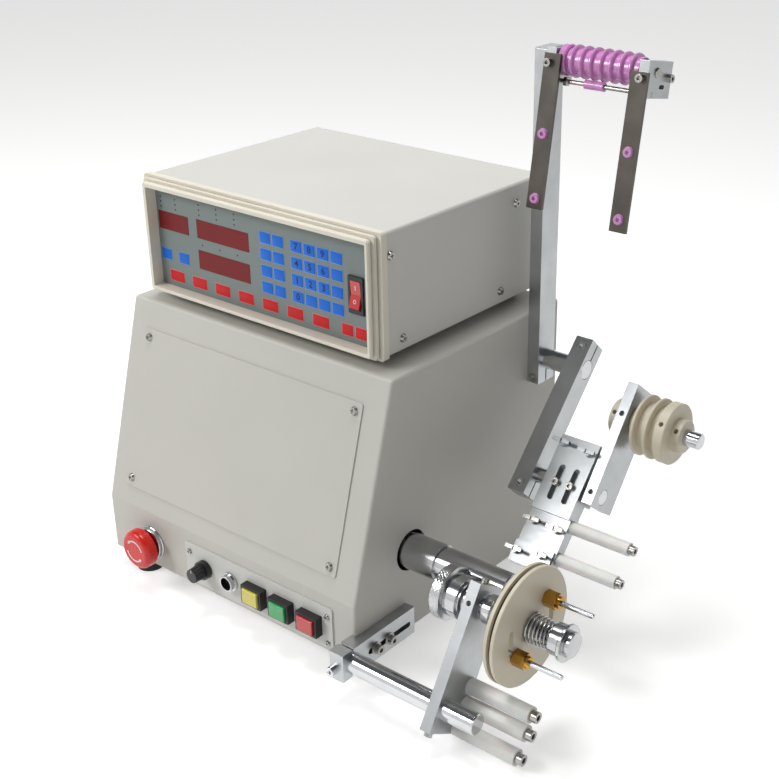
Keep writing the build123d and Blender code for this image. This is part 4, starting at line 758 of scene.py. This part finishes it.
def makeSpring():
    curve = bpy.data.curves.new("coilSpring", "CURVE")
    curve.dimensions = "3D"
    curve.bevel_depth = coil["wire"] / 2 * millimetre
    curve.bevel_resolution = 4
    curve.resolution_u = 6
    curve.use_fill_caps = True
    count = round(coil["turns"] * coil["pointsPerTurn"])
    spline = curve.splines.new("NURBS")
    spline.points.add(count)
    for n in range(count + 1):
        share = n / count
        angle = 2 * pi * coil["turns"] * share
        radius = coil["wideRadius"] + (coil["narrowRadius"] - coil["wideRadius"]) * share
        x = coil["start"] + (coil["end"] - coil["start"]) * share
        spot = place(x, ring["y"] + radius * cos(angle), ring["z"] + radius * sin(angle))
        spline.points[n].co = (*spot, 1.0)
    spline.order_u = 4
    spline.use_endpoint_u = True
    wound = bpy.data.objects.new("coilSpring", curve)
    bpy.context.scene.collection.objects.link(wound)
    bpy.context.view_layer.update()
    mesh = bpy.data.meshes.new_from_object(wound.evaluated_get(bpy.context.evaluated_depsgraph_get()))
    bpy.data.objects.remove(wound)
    shape = bmesh.new()
    shape.from_mesh(mesh)
    bpy.data.meshes.remove(mesh)
    finishPiece("coilSpring", shape, "springSteel", "chuck", 60.0, ("spring",))


makeSpring()
print("spring finished")


# camera, light and floor

studio = {
    "cameraAt": (0.69476, -0.80175, 0.70316),
    "cameraTurn": (90 - 24.89, 0.0, 38.07),
    "lensMm": 62.06,
    "shiftAcross": -0.08704,
    "worldLevel": 0.30,
    "keyWatts": 22.0,
    "keyAt": (-1.2, -1.5, 1.5),
    "keySize": 0.9,
    "topWatts": 17.0,
    "topAt": (-0.25, 0.1, 1.9),
    "topSize": 0.8,
    "fillWatts": 0.4,
    "fillAt": (1.5, -0.6, 0.7),
    "fillSize": 0.35,
    "floorHex": "#F2F2F1",
    "floorGlow": 0.46,
    "ceilingHex": "#5E5F61",
}


def makeCamera():
    data = bpy.data.cameras.new("photographCamera")
    data.sensor_width = 36.0
    data.lens = studio["lensMm"]
    data.shift_x = studio["shiftAcross"]
    data.clip_start = 0.01
    data.clip_end = 50.0
    camera = bpy.data.objects.new("photographCamera", data)
    camera.location = studio["cameraAt"]
    camera.rotation_euler = [radians(a) for a in studio["cameraTurn"]]
    bpy.context.scene.collection.objects.link(camera)
    bpy.context.scene.camera = camera


def softBox(name, watts, at, size):
    data = bpy.data.lights.new(name, "AREA")
    data.energy = watts
    data.shape = "RECTANGLE"
    data.size = size
    data.size_y = size * 0.7
    lamp = bpy.data.objects.new(name, data)
    lamp.location = at
    lamp.rotation_euler = (Vector((0.02, 0.0, 0.25)) - Vector(at)).to_track_quat("-Z", "Y").to_euler()
    bpy.context.scene.collection.objects.link(lamp)


def makeWorld():
    # even studio surround: white where it is seen, with a grey ceiling that chrome picks up as stripes
    world = bpy.data.worlds.new("studioSurround")
    bpy.context.scene.world = world
    world.use_nodes = True
    tree = world.node_tree
    tree.nodes.clear()
    where = addNode(tree, "ShaderNodeTexCoord").outputs["Object"]
    height = addNode(tree, "ShaderNodeSeparateXYZ", {0: where}).outputs["Z"]
    ceiling = addNode(tree, "ShaderNodeMapRange", {"Value": height, "From Min": 0.34, "From Max": 0.55})
    seen = addNode(
        tree,
        "ShaderNodeMix",
        {0: ceiling.outputs["Result"], 6: (1.0, 1.0, 1.0, 1.0), 7: linear(studio["ceilingHex"])},
        data_type="RGBA",
    )
    path = addNode(tree, "ShaderNodeLightPath")
    mirrored = addNode(
        tree,
        "ShaderNodeMath",
        {0: path.outputs["Is Glossy Ray"], 1: path.outputs["Is Transmission Ray"]},
        operation="MAXIMUM",
    )
    direct = addNode(
        tree,
        "ShaderNodeMath",
        {0: path.outputs["Is Camera Ray"], 1: mirrored.outputs[0]},
        operation="MAXIMUM",
    )
    level = studio["worldLevel"]
    lighting = addNode(tree, "ShaderNodeBackground", {"Color": (1, 1, 1, 1), "Strength": level})
    backdrop = addNode(tree, "ShaderNodeBackground", {"Color": seen.outputs[2], "Strength": 1.0})
    both = addNode(
        tree,
        "ShaderNodeMixShader",
        {0: direct.outputs[0], 1: lighting.outputs[0], 2: backdrop.outputs[0]},
    )
    addNode(tree, "ShaderNodeOutputWorld", {"Surface": both.outputs[0]})


def makeFloor():
    # plain pale floor that keeps the shadow under the machine
    mesh = bpy.data.meshes.new("paleFloor")
    shape = bmesh.new()
    bmesh.ops.create_grid(shape, x_segments=1, y_segments=1, size=14.0)
    shape.to_mesh(mesh)
    shape.free()
    floor = bpy.data.objects.new("paleFloor", mesh)
    bpy.context.scene.collection.objects.link(floor)
    material = bpy.data.materials.new("matt_painted_board_white")
    material.use_nodes = True
    tree = material.node_tree
    shader = tree.nodes["Principled BSDF"]
    shader.inputs["Base Color"].default_value = linear(studio["floorHex"])
    shader.inputs["Roughness"].default_value = 0.9
    shader.inputs["Specular IOR Level"].default_value = 0.1
    path = addNode(tree, "ShaderNodeLightPath")
    glow = addNode(tree, "ShaderNodeEmission", {"Color": (1, 1, 1, 1), "Strength": studio["floorGlow"]})
    plain = addNode(tree, "ShaderNodeEmission", {"Color": (0, 0, 0, 1), "Strength": 0.0})
    seen = addNode(
        tree,
        "ShaderNodeMath",
        {0: path.outputs["Is Camera Ray"], 1: path.outputs["Is Glossy Ray"]},
        operation="MAXIMUM",
    )
    seenToo = addNode(
        tree,
        "ShaderNodeMath",
        {0: seen.outputs[0], 1: path.outputs["Is Transmission Ray"]},
        operation="MAXIMUM",
    )
    lift = addNode(
        tree,
        "ShaderNodeMixShader",
        {0: seenToo.outputs[0], 1: plain.outputs[0], 2: glow.outputs[0]},
    )
    total = addNode(tree, "ShaderNodeAddShader", {0: shader.outputs[0], 1: lift.outputs[0]})
    tree.links.new(total.outputs[0], tree.nodes["Material Output"].inputs["Surface"])
    mesh.materials.append(material)


makeCamera()
makeWorld()
makeFloor()
softBox("keySoftBox", studio["keyWatts"], studio["keyAt"], studio["keySize"])
softBox("topSoftBox", studio["topWatts"], studio["topAt"], studio["topSize"])
softBox("fillSoftBox", studio["fillWatts"], studio["fillAt"], studio["fillSize"])
bpy.context.scene.view_settings.view_transform = "Standard"
print("camera, lamps and floor in place")
